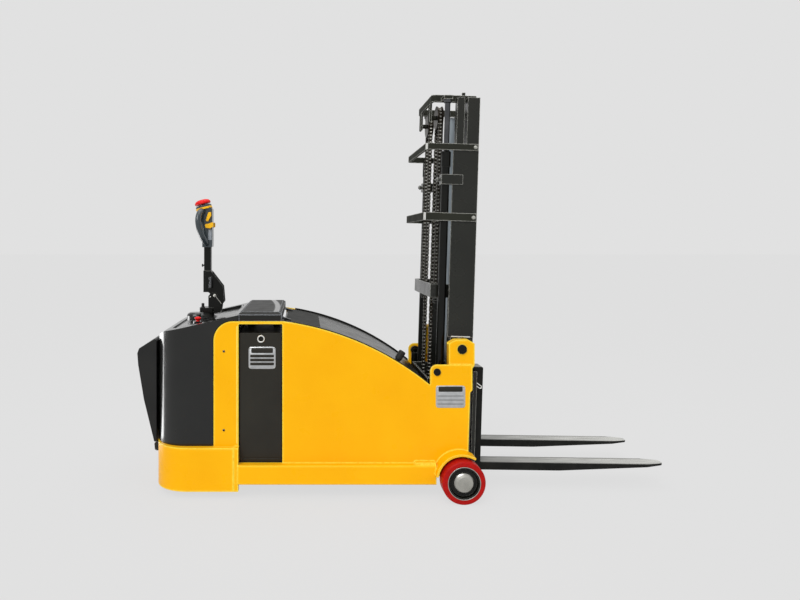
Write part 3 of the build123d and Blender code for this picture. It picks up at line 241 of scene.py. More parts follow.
def add(tree, kind, inputs=None, **settings):
    """Add one node: settings are its own properties, inputs are constants or the sockets that feed it."""
    node = tree.nodes.new(kind)
    for name, value in settings.items():
        setattr(node, name, value)
    for name, value in (inputs or {}).items():
        if isinstance(value, bpy.types.NodeSocket):
            tree.links.new(value, node.inputs[name])
        else:
            node.inputs[name].default_value = value
    return node


def surface(name, **sockets):
    """New material: its node tree, its shader with constants set, and object coordinates."""
    material = bpy.data.materials.new(name)
    material.use_nodes = True
    tree = material.node_tree
    tree.nodes.clear()
    constants = {key.replace("_", " "): value for key, value in sockets.items()}
    shader = add(tree, "ShaderNodeBsdfPrincipled", constants)
    add(tree, "ShaderNodeOutputMaterial", {"Surface": shader.outputs[0]})
    coords = add(tree, "ShaderNodeTexCoord").outputs["Object"]
    return material, tree, shader, coords


def feed(tree, shader, **sockets):
    """Link patterns to the shader's sockets."""
    for name, socket in sockets.items():
        tree.links.new(socket, shader.inputs[name.replace("_", " ")])


def patches(tree, coords, size_mm, detail, band, values=(0.0, 1.0)):
    """Cloudy value in blotches about size_mm across: a band of the cloud is spread between two values."""
    blotches = {"Vector": coords, "Scale": 1 / (size_mm * MM), "Detail": detail}
    cloud = add(tree, "ShaderNodeTexNoise", blotches).outputs["Fac"]
    ends = dict(zip(("From Min", "From Max", "To Min", "To Max"), (*band, *values)))
    return add(tree, "ShaderNodeMapRange", {"Value": cloud, **ends}).outputs["Result"]


def mottled(tree, coords, colours, size_mm, detail, band):
    """Colour that drifts between two hex colours in cloudy patches."""
    share = patches(tree, coords, size_mm, detail, band)
    first, second = (linear(colour) for colour in colours)
    return add(tree, "ShaderNodeMix", {"Factor": share, 6: first, 7: second}, data_type="RGBA").outputs[2]


def relief(tree, coords, size_mm, detail, depth_mm, strength, round_mm):
    """Normal that rolls over sharp edges within a radius, under a grain of a real size and depth."""
    soft = add(tree, "ShaderNodeBevel", {"Radius": round_mm * MM}, samples=4).outputs["Normal"]
    blotches = {"Vector": coords, "Scale": 1 / (size_mm * MM), "Detail": detail}
    grain = add(tree, "ShaderNodeTexNoise", blotches).outputs["Fac"]
    bump = {"Height": grain, "Distance": depth_mm * MM, "Strength": strength, "Normal": soft}
    return add(tree, "ShaderNodeBump", bump).outputs["Normal"]


def rounded_edge_mask(tree, round_mm, flat, at_edge):
    """One along edges and zero on flats, from how far a rounded normal leaves the true one."""
    soft = add(tree, "ShaderNodeBevel", {"Radius": round_mm * MM}, samples=4).outputs["Normal"]
    true = add(tree, "ShaderNodeNewGeometry").outputs["Normal"]
    dot = add(tree, "ShaderNodeVectorMath", {0: soft, 1: true}, operation="DOT_PRODUCT").outputs["Value"]
    band = {"Value": dot, "From Min": flat, "From Max": at_edge}
    return add(tree, "ShaderNodeMapRange", band).outputs["Result"]


def enamel(name, colour, shade, at_edge, gloss, edge_mm, shine):
    """Sprayed enamel on plate: slight orange peel, faint colour drift, and pale edges, partly paint rubbed
    thin and partly a painted highlight.
    """
    material, tree, shader, coords = surface(name, IOR=1.5, Specular_IOR_Level=shine)
    drift = mottled(tree, coords, (colour, shade), size_mm=260, detail=3, band=(0.35, 0.7))
    edges = rounded_edge_mask(tree, edge_mm, flat=0.97, at_edge=0.80)
    scuffs = patches(tree, coords, size_mm=14, detail=6, band=(0.2, 0.5))
    mask = add(tree, "ShaderNodeMath", {0: edges, 1: scuffs}, operation="MULTIPLY").outputs[0]
    # The edge colour is partly paint rubbed thin and partly a painted highlight that the edges catch.
    rubbed_and_highlit = {"Factor": mask, 6: drift, 7: linear(at_edge)}
    base = add(tree, "ShaderNodeMix", rubbed_and_highlit, data_type="RGBA").outputs[2]
    sheen = (gloss - 0.04, gloss + 0.06)
    rough = patches(tree, coords, size_mm=90, detail=3, band=(0.3, 0.7), values=sheen)
    # Real orange peel is too fine to show, so this one is coarser.
    peel = relief(tree, coords, size_mm=6, detail=1, depth_mm=0.05, strength=0.25, round_mm=2.5)
    feed(tree, shader, Base_Color=base, Roughness=rough, Normal=peel)
    return material


def moulding(name, colour, shade, gloss, grain_mm, depth_mm, coat):
    """Moulded plastic: even colour with a faint cloud, fine texture of a chosen grain and a film of dust."""
    constants = {"Coat_Weight": coat, "Coat_Roughness": 0.05}
    material, tree, shader, coords = surface(name, IOR=1.53, Specular_IOR_Level=0.25, **constants)
    base = mottled(tree, coords, (colour, shade), size_mm=180, detail=3, band=(0.3, 0.7))
    dust = patches(tree, coords, size_mm=70, detail=5, band=(0.45, 0.8), values=(gloss, gloss + 0.12))
    # A real mould's grain is too fine to show, so this one is coarser.
    grain = relief(tree, coords, grain_mm, detail=2, depth_mm=depth_mm, strength=0.35, round_mm=3)
    feed(tree, shader, Base_Color=base, Roughness=dust, Normal=grain)
    return material


def polyurethane(name, colour, shade, gloss):
    """Cast polyurethane tread: waxy, slightly deep colour with scuffed patches."""
    constants = {"Subsurface_Weight": 0.05, "Subsurface_Scale": 0.003}
    material, tree, shader, coords = surface(name, IOR=1.5, Specular_IOR_Level=0.1, **constants)
    base = mottled(tree, coords, (colour, shade), size_mm=30, detail=4, band=(0.35, 0.75))
    rough = patches(tree, coords, size_mm=12, detail=5, band=(0.35, 0.7), values=(gloss, gloss + 0.2))
    scuffs = relief(tree, coords, size_mm=3, detail=3, depth_mm=0.1, strength=0.2, round_mm=2)
    feed(tree, shader, Base_Color=base, Roughness=rough, Normal=scuffs)
    return material


def bare_metal(name, colour, shade, gloss, grain_mm, stretch=(1, 1, 1)):
    """Bare steel or aluminium: streaked by the tool along one direction, under a film of oil or handling."""
    material, tree, shader, coords = surface(name, Metallic=1.0)
    along = add(tree, "ShaderNodeMapping", {"Vector": coords, "Scale": stretch}).outputs["Vector"]
    film = mottled(tree, coords, (colour, shade), size_mm=25, detail=4, band=(0.3, 0.7))
    # Real tool marks are too fine to show, so these are coarser.
    sheen = (gloss - 0.06, gloss + 0.1)
    rough = patches(tree, along, grain_mm, detail=4, band=(0.3, 0.7), values=sheen)
    streaks = relief(tree, along, grain_mm, detail=4, depth_mm=0.03, strength=0.3, round_mm=0.8)
    feed(tree, shader, Base_Color=film, Roughness=rough, Normal=streaks)
    return material


def turned_aluminium():
    """Lathe-turned cap: tool marks in rings about the wheel's axle, and a bright satin face."""
    material, tree, shader, coords = surface("turned_aluminium", Metallic=1.0)
    centred = {"Vector": coords, "Location": (-AXLE_X * MM, 0, -WHEEL_R * MM), "Scale": (1, 0, 1)}
    flat = add(tree, "ShaderNodeMapping", centred).outputs["Vector"]
    # The wave runs 20 radians to a unit. Real marks are too fine to show, so these are 25 mm apart.
    marks = {"Vector": flat, "Scale": math.tau / 20 / (25 * MM), "Distortion": 0.6}
    wave = add(tree, "ShaderNodeTexWave", marks, wave_type="RINGS", rings_direction="SPHERICAL")
    rings = wave.outputs["Fac"]
    satin = {"Value": rings, "To Min": 0.26, "To Max": 0.4}
    rough = add(tree, "ShaderNodeMapRange", satin).outputs["Result"]
    soft = add(tree, "ShaderNodeBevel", {"Radius": 1.5 * MM}, samples=4).outputs["Normal"]
    bump = {"Height": rings, "Distance": 0.02 * MM, "Strength": 0.2, "Normal": soft}
    normal = add(tree, "ShaderNodeBump", bump).outputs["Normal"]
    base = mottled(tree, coords, ("#B4B3AC", "#A4A39C"), size_mm=40, detail=2, band=(0.35, 0.7))
    feed(tree, shader, Base_Color=base, Roughness=rough, Normal=normal)
    return material


def forged_fork():
    """Forged fork: dark scale, and a bright upper face of bare steel, most of all at the tip, partly rubbed
    by pallets and partly a painted highlight.
    """
    material, tree, shader, coords = surface("forged_fork", Specular_IOR_Level=0.15)
    facing = add(tree, "ShaderNodeTexCoord").outputs["Normal"]
    upward = add(tree, "ShaderNodeSeparateXYZ", {0: facing}).outputs["Z"]
    top = {"Value": upward, "From Min": 0.6, "From Max": 0.95}
    along = add(tree, "ShaderNodeMapping", {"Vector": coords, "Scale": (0.12, 1, 1)}).outputs["Vector"]
    place = add(tree, "ShaderNodeSeparateXYZ", {0: coords}).outputs
    start, end = ((AXLE_X + x) * MM for x in FORK_WEAR_AND_HIGHLIGHT)
    reach = {"Value": place["X"], "From Min": start, "From Max": end, "To Min": 0.4, "To Max": 1.0}
    side = add(tree, "ShaderNodeMath", {0: place["Y"]}, operation="ABSOLUTE").outputs[0]
    off = add(tree, "ShaderNodeMath", {0: side, 1: FORK_Y * MM}, operation="SUBTRACT").outputs[0]
    off = add(tree, "ShaderNodeMath", {0: off}, operation="ABSOLUTE").outputs[0]
    near, far = (edge * MM for edge in FORK_EDGE)
    middle = {"Value": off, "From Min": near, "From Max": far, "To Min": 1.0, "To Max": 0.25}
    # The bright upper face is partly bare steel rubbed by pallets and partly a painted highlight, growing
    # towards the tip.
    bare_and_highlit = patches(tree, along, size_mm=16, detail=5, band=(0.3, 0.65), values=(0.6, 1.0))
    for band in (top, reach, middle):
        mask = add(tree, "ShaderNodeMapRange", band).outputs["Result"]
        bare_and_highlit = add(tree, "ShaderNodeMath", {0: bare_and_highlit, 1: mask}, operation="MULTIPLY").outputs[0]
    scale = mottled(tree, coords, ("#121311", "#1C1C1A"), size_mm=40, detail=5, band=(0.35, 0.7))
    rubbed_and_highlit = {"Factor": bare_and_highlit, 6: scale, 7: linear("#E4E4DE")}
    base = add(tree, "ShaderNodeMix", rubbed_and_highlit, data_type="RGBA").outputs[2]
    rough = add(tree, "ShaderNodeMapRange", {"Value": bare_and_highlit, "To Min": 0.5, "To Max": 0.22}).outputs["Result"]
    metal = add(tree, "ShaderNodeMapRange", {"Value": bare_and_highlit, "To Min": 0.1, "To Max": 0.8}).outputs["Result"]
    grain = relief(tree, coords, size_mm=5, detail=4, depth_mm=0.15, strength=0.3, round_mm=3)
    feed(tree, shader, Base_Color=base, Roughness=rough, Metallic=metal, Normal=grain)
    return material


def handled_lid():
    """Lid of grained ABS: dull, with pale edges, partly rubbed and partly a painted highlight, and a bowed
    band that hands have polished.
    """
    material, tree, shader, coords = surface("rubbed_and_highlit_black_abs", IOR=1.53, Specular_IOR_Level=0.25)
    plain = mottled(tree, coords, ("#121210", "#181815"), size_mm=180, detail=3, band=(0.3, 0.7))
    place = add(tree, "ShaderNodeSeparateXYZ", {0: coords}).outputs
    slant = {0: place["Y"], 1: POLISH_BOW, 2: POLISH_SKEW}
    slant = add(tree, "ShaderNodeMath", slant, operation="MULTIPLY_ADD").outputs[0]
    bowed = {0: place["Y"], 1: slant, 2: place["X"]}
    bowed = add(tree, "ShaderNodeMath", bowed, operation="MULTIPLY_ADD").outputs[0]
    middle = (AXLE_X + POLISH_X) * MM
    off = add(tree, "ShaderNodeMath", {0: bowed, 1: middle}, operation="SUBTRACT").outputs[0]
    off = add(tree, "ShaderNodeMath", {0: off}, operation="ABSOLUTE").outputs[0]
    near, far = (edge * MM for edge in POLISH_EDGE)
    within = {"Value": off, "From Min": near, "From Max": far, "To Min": 1.0, "To Max": 0.0}
    facing = add(tree, "ShaderNodeTexCoord").outputs["Normal"]
    upward = add(tree, "ShaderNodeSeparateXYZ", {0: facing}).outputs["Z"]
    level = {"Value": upward, "From Min": 0.9, "From Max": 0.98}
    masks = [add(tree, "ShaderNodeMapRange", band).outputs["Result"] for band in (within, level)]
    band = add(tree, "ShaderNodeMath", {0: masks[0], 1: masks[1]}, operation="MULTIPLY").outputs[0]
    dust = patches(tree, coords, size_mm=70, detail=5, band=(0.45, 0.8), values=(0.5, 0.62))
    dull = add(tree, "ShaderNodeMapRange", {"Value": band, "To Min": 1.0, "To Max": 0.16}).outputs["Result"]
    rough = add(tree, "ShaderNodeMath", {0: dust, 1: dull}, operation="MULTIPLY").outputs[0]
    edges = rounded_edge_mask(tree, round_mm=5, flat=0.99, at_edge=0.95)
    # Pale edges: partly rubbed plastic, partly a painted highlight.
    rubbed_and_highlit = {"Factor": edges, 6: plain, 7: linear("#A9ADB4")}
    base = add(tree, "ShaderNodeMix", rubbed_and_highlit, data_type="RGBA").outputs[2]
    grain = relief(tree, coords, size_mm=3, detail=2, depth_mm=0.05, strength=0.35, round_mm=3)
    feed(tree, shader, Base_Color=base, Roughness=rough, Normal=grain)
    return material


def roller_rail():
    """Mast rail: black enamel, and grey steel where rollers run on the faces that look to the middle."""
    material, tree, shader, coords = surface("run_in_rail_steel", Specular_IOR_Level=0.3)
    facing = add(tree, "ShaderNodeTexCoord").outputs["Normal"]
    sides = [add(tree, "ShaderNodeSeparateXYZ", {0: socket}).outputs["Y"] for socket in (coords, facing)]
    outward = add(tree, "ShaderNodeMath", {0: sides[0], 1: sides[1]}, operation="MULTIPLY").outputs[0]
    track = {"Value": outward, "From Min": -0.1, "From Max": -0.2}
    track = add(tree, "ShaderNodeMapRange", track).outputs["Result"]
    along = add(tree, "ShaderNodeMapping", {"Vector": coords, "Scale": (1, 1, 0.03)}).outputs["Vector"]
    streaks = {"size_mm": 12, "detail": 4, "band": (0.35, 0.65)}
    paint = mottled(tree, along, ("#191A16", "#20211C"), **streaks)
    steel = mottled(tree, along, ("#A9B2B8", "#8C959B"), **streaks)
    run_in = {"Factor": track, 6: paint, 7: steel}
    base = add(tree, "ShaderNodeMix", run_in, data_type="RGBA").outputs[2]
    rough = patches(tree, along, **streaks, values=(0.26, 0.36))
    metal = add(tree, "ShaderNodeMapRange", {"Value": track, "To Max": 0.9}).outputs["Result"]
    soft = add(tree, "ShaderNodeBevel", {"Radius": 2.5 * MM}, samples=4).outputs["Normal"]
    feed(tree, shader, Base_Color=base, Roughness=rough, Metallic=metal, Normal=soft)
    return material


# Enamels: warm yellow, a paler yellow that paints edge highlights, and blacks from matt to deep; the casting
# is a dull dark grey.
# Each enamel's third colour lies on its edges, partly rubbed paint and partly painted highlight; the
# yellow's wide band is mostly painted highlight.
YELLOW = enamel("yellow_enamel", "#FDBA08", "#FAB304", "#FFF25A", gloss=0.3, edge_mm=16, shine=0.12)
# A paler yellow for strips that paint the highlight on the side panels' edges.
EDGE_HIGHLIGHT = enamel("yellow_edge_highlight_enamel", "#FFE257", "#FFD83C", "#FFF6B0", gloss=0.26, edge_mm=3, shine=0.2)
BLACK = enamel("black_enamel", "#191A16", "#20211C", "#C8C8C0", gloss=0.24, edge_mm=5, shine=0.32)
MATT = enamel("matt_black_enamel", "#2A2B26", "#31322C", "#DADAD2", gloss=0.55, edge_mm=6, shine=0.02)
DEEP = enamel("deep_black_enamel", "#090A08", "#0D0E0B", "#55554F", gloss=0.2, edge_mm=3, shine=0.2)
CAST = enamel("painted_casting", "#232321", "#2C2C29", "#6A6A64", gloss=0.5, edge_mm=3, shine=0.25)

# Mouldings: a hood that mirrors the room, a satin cover, a powdery battery case and a grained dash.
GLOSS = moulding("gloss_black_abs", "#0E0F0E", "#141513", gloss=0.2, grain_mm=5, depth_mm=0.03, coat=0.35)
COVER = moulding("satin_black_abs", "#121210", "#181815", gloss=0.27, grain_mm=3, depth_mm=0.03, coat=0)
SATIN = moulding("satin_black_powder", "#1F1D17", "#26241D", gloss=0.42, grain_mm=2.5, depth_mm=0.1, coat=0)
DASH = moulding("grained_black_abs", "#161616", "#1E1E1D", gloss=0.4, grain_mm=2, depth_mm=0.15, coat=0)

# Mouldings: slate grips with a wet shine, dead black rubber, and pale, red and yellow trim of clean colour.
GRIP = moulding("soft_grip_tpe", "#2E373B", "#384146", gloss=0.26, grain_mm=8, depth_mm=0.02, coat=0.6)
RUBBER = moulding("matt_rubber_sheet", "#191917", "#22221F", gloss=0.7, grain_mm=3, depth_mm=0.2, coat=0)
PALE = moulding("pale_grey_abs", "#8F959C", "#A0A6AC", gloss=0.34, grain_mm=3, depth_mm=0.05, coat=0.1)
RED = moulding("red_abs", "#E00A06", "#D00805", gloss=0.42, grain_mm=12, depth_mm=0.02, coat=0)
AMBER = moulding("yellow_abs", "#FFC61A", "#F8B814", gloss=0.3, grain_mm=12, depth_mm=0.02, coat=0.1)

# Treads: deep red on the front wheels and scuffed black on the hidden ones.
TREAD = polyurethane("red_polyurethane", "#B21512", "#9E120F", gloss=0.34)
TYRE = polyurethane("black_polyurethane", "#242422", "#2E2E2B", gloss=0.5)

# Bare metals: brown oily chain, dark and bright chrome, grey zinc, and plates brushed along their length.
CHAIN = bare_metal("oiled_chain_steel", "#4A443C", "#2C2823", gloss=0.34, grain_mm=3)
CHROME = bare_metal("oiled_chrome", "#5A5B5D", "#4A4C4E", gloss=0.12, grain_mm=2, stretch=(1, 1, 0.05))
POLISH = bare_metal("polished_chrome", "#F0F0EC", "#E2E2DC", gloss=0.12, grain_mm=2)
ZINC = bare_metal("zinc_plated_steel", "#C4C4BE", "#A8A8A0", gloss=0.3, grain_mm=2)
PLATE = bare_metal("brushed_aluminium", "#C9CACB", "#B4B6B8", gloss=0.34, grain_mm=1.5, stretch=(0.03, 1, 1))

# Finishes that only one kind of piece has, each described by its own function.
LID = handled_lid()
FORK = forged_fork()
RAIL = roller_rail()
CAP = turned_aluminium()

FINISH = {
    YELLOW: ["side_frame_left", "side_frame_right", "rear_skirt"],
    SATIN: ["battery_pack"],
    GLOSS: ["drive_hood", "control_panel"],
    COVER: ["front_cover"],
    LID: ["battery_lid"],
    DASH: ["breather_cap", "key_switch", "platform_deck"],
    DEEP: [
        "lift_barrel_left", "lift_barrel_right", "tilt_barrel_left", "tilt_barrel_right",
        "tiller_arm", "tiller_base", "front_hub_left", "front_hub_right", "tilt_pins",
    ],
    GRIP: ["tiller_grips", "tiller_head"],
    RED: ["belly_button", "emergency_stop"],
    AMBER: ["thumb_wheel", "lift_rocker"],
    TREAD: ["front_tyre_left", "front_tyre_right"],
    TYRE: ["castor_wheel_left", "castor_wheel_right", "drive_wheel"],
    CAST: ["drive_unit", "power_pack"],
    CHAIN: ["sheave_left", "sheave_right", "carriage_roller_lower", "carriage_roller_upper"],
    CHROME: ["lift_rod_left", "lift_rod_right", "tilt_rod_left", "tilt_rod_right"],
    FORK: ["fork_left", "fork_right"],
    CAP: ["hub_cap_left", "hub_cap_right"],
    RAIL: ["inner_rail_left", "inner_rail_right"],
    MATT: ["mast_ties", "crosshead"],
}


def dress_solids():
    """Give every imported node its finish; what has no other finish is black enamel."""
    finish = {name: material for material, names in FINISH.items() for name in names}
    for name, node in NODES.items():
        node.data.materials.clear()
        node.data.materials.append(finish.get(name, BLACK))


def spot(points):
    """Drawing millimetres to metres in the frame."""
    return (np.asarray(points, float) + [AXLE_X, 0, 0]) * MM


def leaned(points):
    """Points of the upright mast turned about its trunnion to the rest lean, then placed in the frame."""
    offset = np.asarray(points, float) - PIVOT
    x = offset[..., 0] * math.cos(LEAN) + offset[..., 2] * math.sin(LEAN)
    z = -offset[..., 0] * math.sin(LEAN) + offset[..., 2] * math.cos(LEAN)
    return spot(np.stack([x, offset[..., 1], z], -1) + PIVOT)


def loft(rings, endless=False):
    """Closed skin over a stack of rings: quads between neighbours, and end faces on the first and last ring.

    An endless skin has no end faces, because its last ring meets its first.
    """
    rings = np.asarray(rings, float)
    rows, count = rings.shape[:2]
    grid = np.arange(rows * count).reshape(rows, count)
    low, high = (grid, np.roll(grid, -1, 0)) if endless else (grid[:-1], grid[1:])
    quads = np.stack([low, np.roll(low, -1, 1), np.roll(high, -1, 1), high], -1).reshape(-1, 4)
    ends = [] if endless else [grid[0, ::-1].tolist(), grid[-1].tolist()]
    return rings.reshape(-1, 3), quads.tolist() + ends


def joined(parts):
    """Several (points, faces) shapes as one."""
    points, faces, start = [], [], 0
    for part_points, part_faces in parts:
        points.append(part_points)
        faces += [[index + start for index in face] for face in part_faces]
        start += len(part_points)
    return np.concatenate(points), faces


def piece(name, shape, material, body):
    """Mesh object from metres in the frame, riding on a body, or on none."""
    points, faces = shape
    mesh = bpy.data.meshes.new(name)
    mesh.from_pydata(points.tolist(), [], faces)
    mesh.polygons.foreach_set("use_smooth", [True] * len(mesh.polygons))
    mesh.set_sharp_from_angle(angle=SHARP)
    mesh.materials.append(material)
    obj = bpy.data.objects.new(name, mesh)
    bpy.context.scene.collection.objects.link(obj)
    if body:
        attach(obj, body)
    return obj


def turned(profile, start, along, sides):
    """Turned shape: each (radius, distance) of the profile is a ring of points about a line from start."""
    along = np.asarray(along, float) / np.linalg.norm(along)
    helper = np.array([0, 0, 1.0]) if abs(along[2]) < 0.9 else np.array([1.0, 0, 0])
    u = np.cross(helper, along)
    u /= np.linalg.norm(u)
    v = np.cross(along, u)
    angle = np.arange(sides) * 2 * math.pi / sides
    circle = np.outer(np.cos(angle), u) + np.outer(np.sin(angle), v)
    radius, distance = np.array(profile, float).T
    return np.asarray(start, float) + along * distance[:, None, None] + circle * radius[:, None, None]


def hex_bolt(start, along, across):
    """Hexagon head on a washer, with a chamfered crown, in shares of the size across its flats."""
    washer = turned([(across * 0.72, 0), (across * 0.72, 1.5)], start, along, sides=24)
    head = [(across * 0.57, 1.5), (across * 0.57, across * 0.55), (across * 0.46, across * 0.64)]
    return washer, turned(head, start, along, sides=6)


def pan_screw(start, along, radius):
    """Pan-head screw: a quarter-round crown over a straight skirt, in shares of its radius."""
    angle = np.linspace(0, math.radians(80), 6)
    crown = [(radius * math.cos(a), radius * 0.25 + radius * 0.4 * math.sin(a)) for a in angle]
    return turned([(radius, 0)] + crown, start, along, sides=24)


def blank_plate(x, z, y):
    """Rounded plate on an upright face at y, facing away from the middle, with a bevelled edge.

    Its outline is a circle whose cosine and sine are raised to a small power, which squares it.
    """
    side = math.copysign(1, y)
    angle = -side * np.arange(PLATE_POINTS) * 2 * math.pi / PLATE_POINTS
    middle = np.array([sum(x) / 2, sum(z) / 2])
    half = np.array([x[1] - x[0], z[1] - z[0]]) / 2
    curve = np.stack([np.cos(angle), np.sin(angle)], -1)
    outline = np.sign(curve) * np.abs(curve) ** PLATE_POWER
    rings = []
    for inset, rise in PLATE_BEVEL:
        flat = middle + outline * (half - inset)
        rings.append(np.insert(flat, 1, y + side * rise, axis=1))
    return loft(spot(rings))


def upright_plate(corners, y0, y1):
    """Flat plate: an outline of (x, z) corners, drawn against the clock, carried from y0 to y1."""
    return [np.insert(np.asarray(corners, float), 1, y, axis=1) for y in (y0, y1)]


def trim_ring(radii, rise, start, along):
    """Flat ring between two radii with bevelled edges, closed on itself, standing on a face."""
    inner, outer = radii
    bevel = min(rise, (outer - inner) / 3) / 2
    wall = [(outer, -0.5), (outer, rise - bevel), (outer - bevel, rise)]
    profile = wall + [(inner + bevel, rise), (inner, rise - bevel), (inner, -0.5)]
    return loft(spot(turned(profile, start, along, sides=48)), endless=True)


def link_plate():
    """Chain plate: round ends about two pins a pitch apart and a narrower waist, as thick as one leaf."""
    round_r = CHAIN_WIDE / 2
    waist = round_r * WAIST_SHARE
    angle = np.radians([0, 45, 90, 135, 180])
    top = np.stack([round_r * np.cos(angle), CHAIN_PITCH / 2 + round_r * np.sin(angle)], -1)
    outline = np.concatenate([top, [[-waist, 0]], -top, [[waist, 0]]])
    return loft([np.insert(outline, 0, x, axis=1) for x in (-LEAF / 2, LEAF / 2)])


def leaf_chain(pins, x, slim=1.0):
    """Chain through (y, z) places of its pins: its plates, and its pins with their bushes.

    Each plate is stretched from one pin to the next. A link has one leaf a side, the outermost and the
    next one in turn, and a narrow web that fills the middle half of the chain.
    """
    pins = np.asarray(pins, float)
    plate, plate_faces = link_plate()
    thick, wide, tall = plate[:, :1], plate[None, :, 1:2], plate[None, :, 2:] / CHAIN_PITCH
    along = np.diff(pins, axis=0)
    across = np.stack([along[:, 1], -along[:, 0]], -1) / np.linalg.norm(along, axis=1)[:, None]
    middle = ((pins[:-1] + pins[1:]) / 2)[:, None] + tall * along[:, None]
    leaves = middle + slim * wide * across[:, None]
    webs = middle + slim * WEB_SHARE * wide * across[:, None]
    parts = []
    for i, (leaf, web) in enumerate(zip(leaves, webs)):
        for layer in (i % 2, LEAVES - 1 - i % 2):
            depth = x + slim * ((layer - (LEAVES - 1) / 2) * LEAF + thick)
            parts.append((np.concatenate([depth, leaf], 1), plate_faces))
        parts.append((np.concatenate([x + slim * LEAVES / 2 * thick, web], 1), plate_faces))
    half, bush = slim * (CHAIN_DEEP / 2 + PIN_END), slim * CHAIN_DEEP / 4
    end = [(PIN_R - PIN_BEVEL, half), (PIN_R, half - PIN_BEVEL), (PIN_R, bush), (BUSH_R * slim, bush)]
    profile = [(radius, -distance) for radius, distance in end] + end[::-1]
    bushes = [loft(turned(profile, (x, y, z), (1, 0, 0), sides=8)) for y, z in pins]
    return joined(parts), joined(bushes)


def straight_pins(y, low, high, count):
    """Evenly spaced pins up a straight run."""
    z = np.linspace(low, high, count + 1)
    return np.stack([np.full(count + 1, y), z], -1)


def gathered(shapes, low, high):
    """Chain drawn at full lift, drawn together between two heights.

    A point at height z rises by the lift times a smoothstep of z between low and high; each drawn
    height is looked up backwards in that curve.
    """
    z = np.linspace(low, high, 4000)
    share = (z - low) / (high - low)
    raised = z + LIFT * share * share * (3 - 2 * share)
    for points, _ in shapes:
        points[:, 2] = np.interp(points[:, 2], raised, z)
    return shapes


def chain_pieces(name, runs, body):
    """Two objects from chain runs of the upright mast, leaned with it: plates, and pins with bushes."""
    pieces = []
    for kind, material, shapes in zip(("plates", "pins"), (CHAIN, ZINC), zip(*runs)):
        points, faces = joined(shapes)
        pieces.append(piece(f"{name}_{kind}", (leaned(points), faces), material, body))
    return pieces


def chains():
    """Both chains: a run fixed to the anchor, a run paid out as the mast rises, the links that fill between
    them at full lift, the half turn over each sheave and the run to the carriage."""
    lengths = {
        "anchored": SHEAVE_Z - ANCHOR_Z,
        "lifting": SHEAVE_Z - CARRIAGE_Z,
        "between": LIFT - SHEAVE_Z + ANCHOR_Z,
    }
    count = {name: 2 * round(length / CHAIN_PITCH / 2) for name, length in lengths.items()}
    fill_z = [SHEAVE_Z - drop for drop in BETWEEN_DROP]
    fixed, paid, between, lifting, turns = [], [], [], [], []
    angle = np.linspace(0, math.pi, TURN_PINS)
    for side in (1, -1):
        y = side * (SHEAVE_Y + CHAIN_RADIUS)
        anchored = straight_pins(y, ANCHOR_Z, SHEAVE_Z, count["anchored"])
        fixed.append(leaf_chain(anchored[:-FREE_LINKS], CHAIN_X))
        paid.append(leaf_chain(anchored, CHAIN_X, PAID_SLIM))
        last = anchored[-FREE_LINKS - 1, 1]
        raised = straight_pins(y, last, ANCHOR_Z + LIFT, count["between"] + FREE_LINKS)
        between.append(gathered(leaf_chain(raised, CHAIN_X, BETWEEN_SLIM), *fill_z))
        inner = straight_pins(side * (SHEAVE_Y - CHAIN_RADIUS), CARRIAGE_Z, SHEAVE_Z, count["lifting"])
        lifting.append(leaf_chain(inner, CHAIN_X))
        bend = CHAIN_RADIUS * np.stack([-side * np.cos(angle), np.sin(angle)], -1)
        turns.append(leaf_chain(bend + [side * SHEAVE_Y, SHEAVE_Z], CHAIN_X))
    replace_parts(chain_pieces("chain_run_fixed", fixed, "mast")[0], "chain_anchored")
    chain_pieces("chain_run_paid_out", paid, "inner")
    chain_pieces("chain_turns", turns, "inner")
    for run in chain_pieces("chain_run_between", between, None):
        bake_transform(run)
    runs = chain_pieces("chain_run_lifting", lifting, "inner")
    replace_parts(runs[0], "chain_lifting")
    for run in runs:
        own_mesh(run)


def plates():
    """Two plates with nothing written on them: a rivet in each corner, a dark heading band and dark rows."""
    for name, x, z, y, row in PLATES:
        piece(name, blank_plate(x, z, y), PLATE, "chassis")
        face = y - BAND_RISE
        tall = z[1] - z[0]
        heading = (z[1] - HEADING_SHARE * tall, z[1] - HEADING_DROP)
        dark = [blank_plate((x[0] + HEADING_INSET, x[1] - HEADING_INSET), heading, face)]
        for share in ROW_SHARES:
            low = z[0] + share * tall
            dark.append(blank_plate((x[0] + ROW_INSET, x[1] - ROW_INSET), (low, low + row), face))
        piece(name + "_rows", joined(dark), SATIN, "chassis")
        rivets = []
        for px in (x[0] + RIVET_INSET, x[1] - RIVET_INSET):
            for pz in (z[0] + RIVET_INSET, z[1] - RIVET_INSET):
                rivets.append(loft(spot(pan_screw((px, y - RIVET_RISE, pz), NEAR, RIVET_R))))
        piece(name + "_rivets", joined(rivets), ZINC, "chassis")


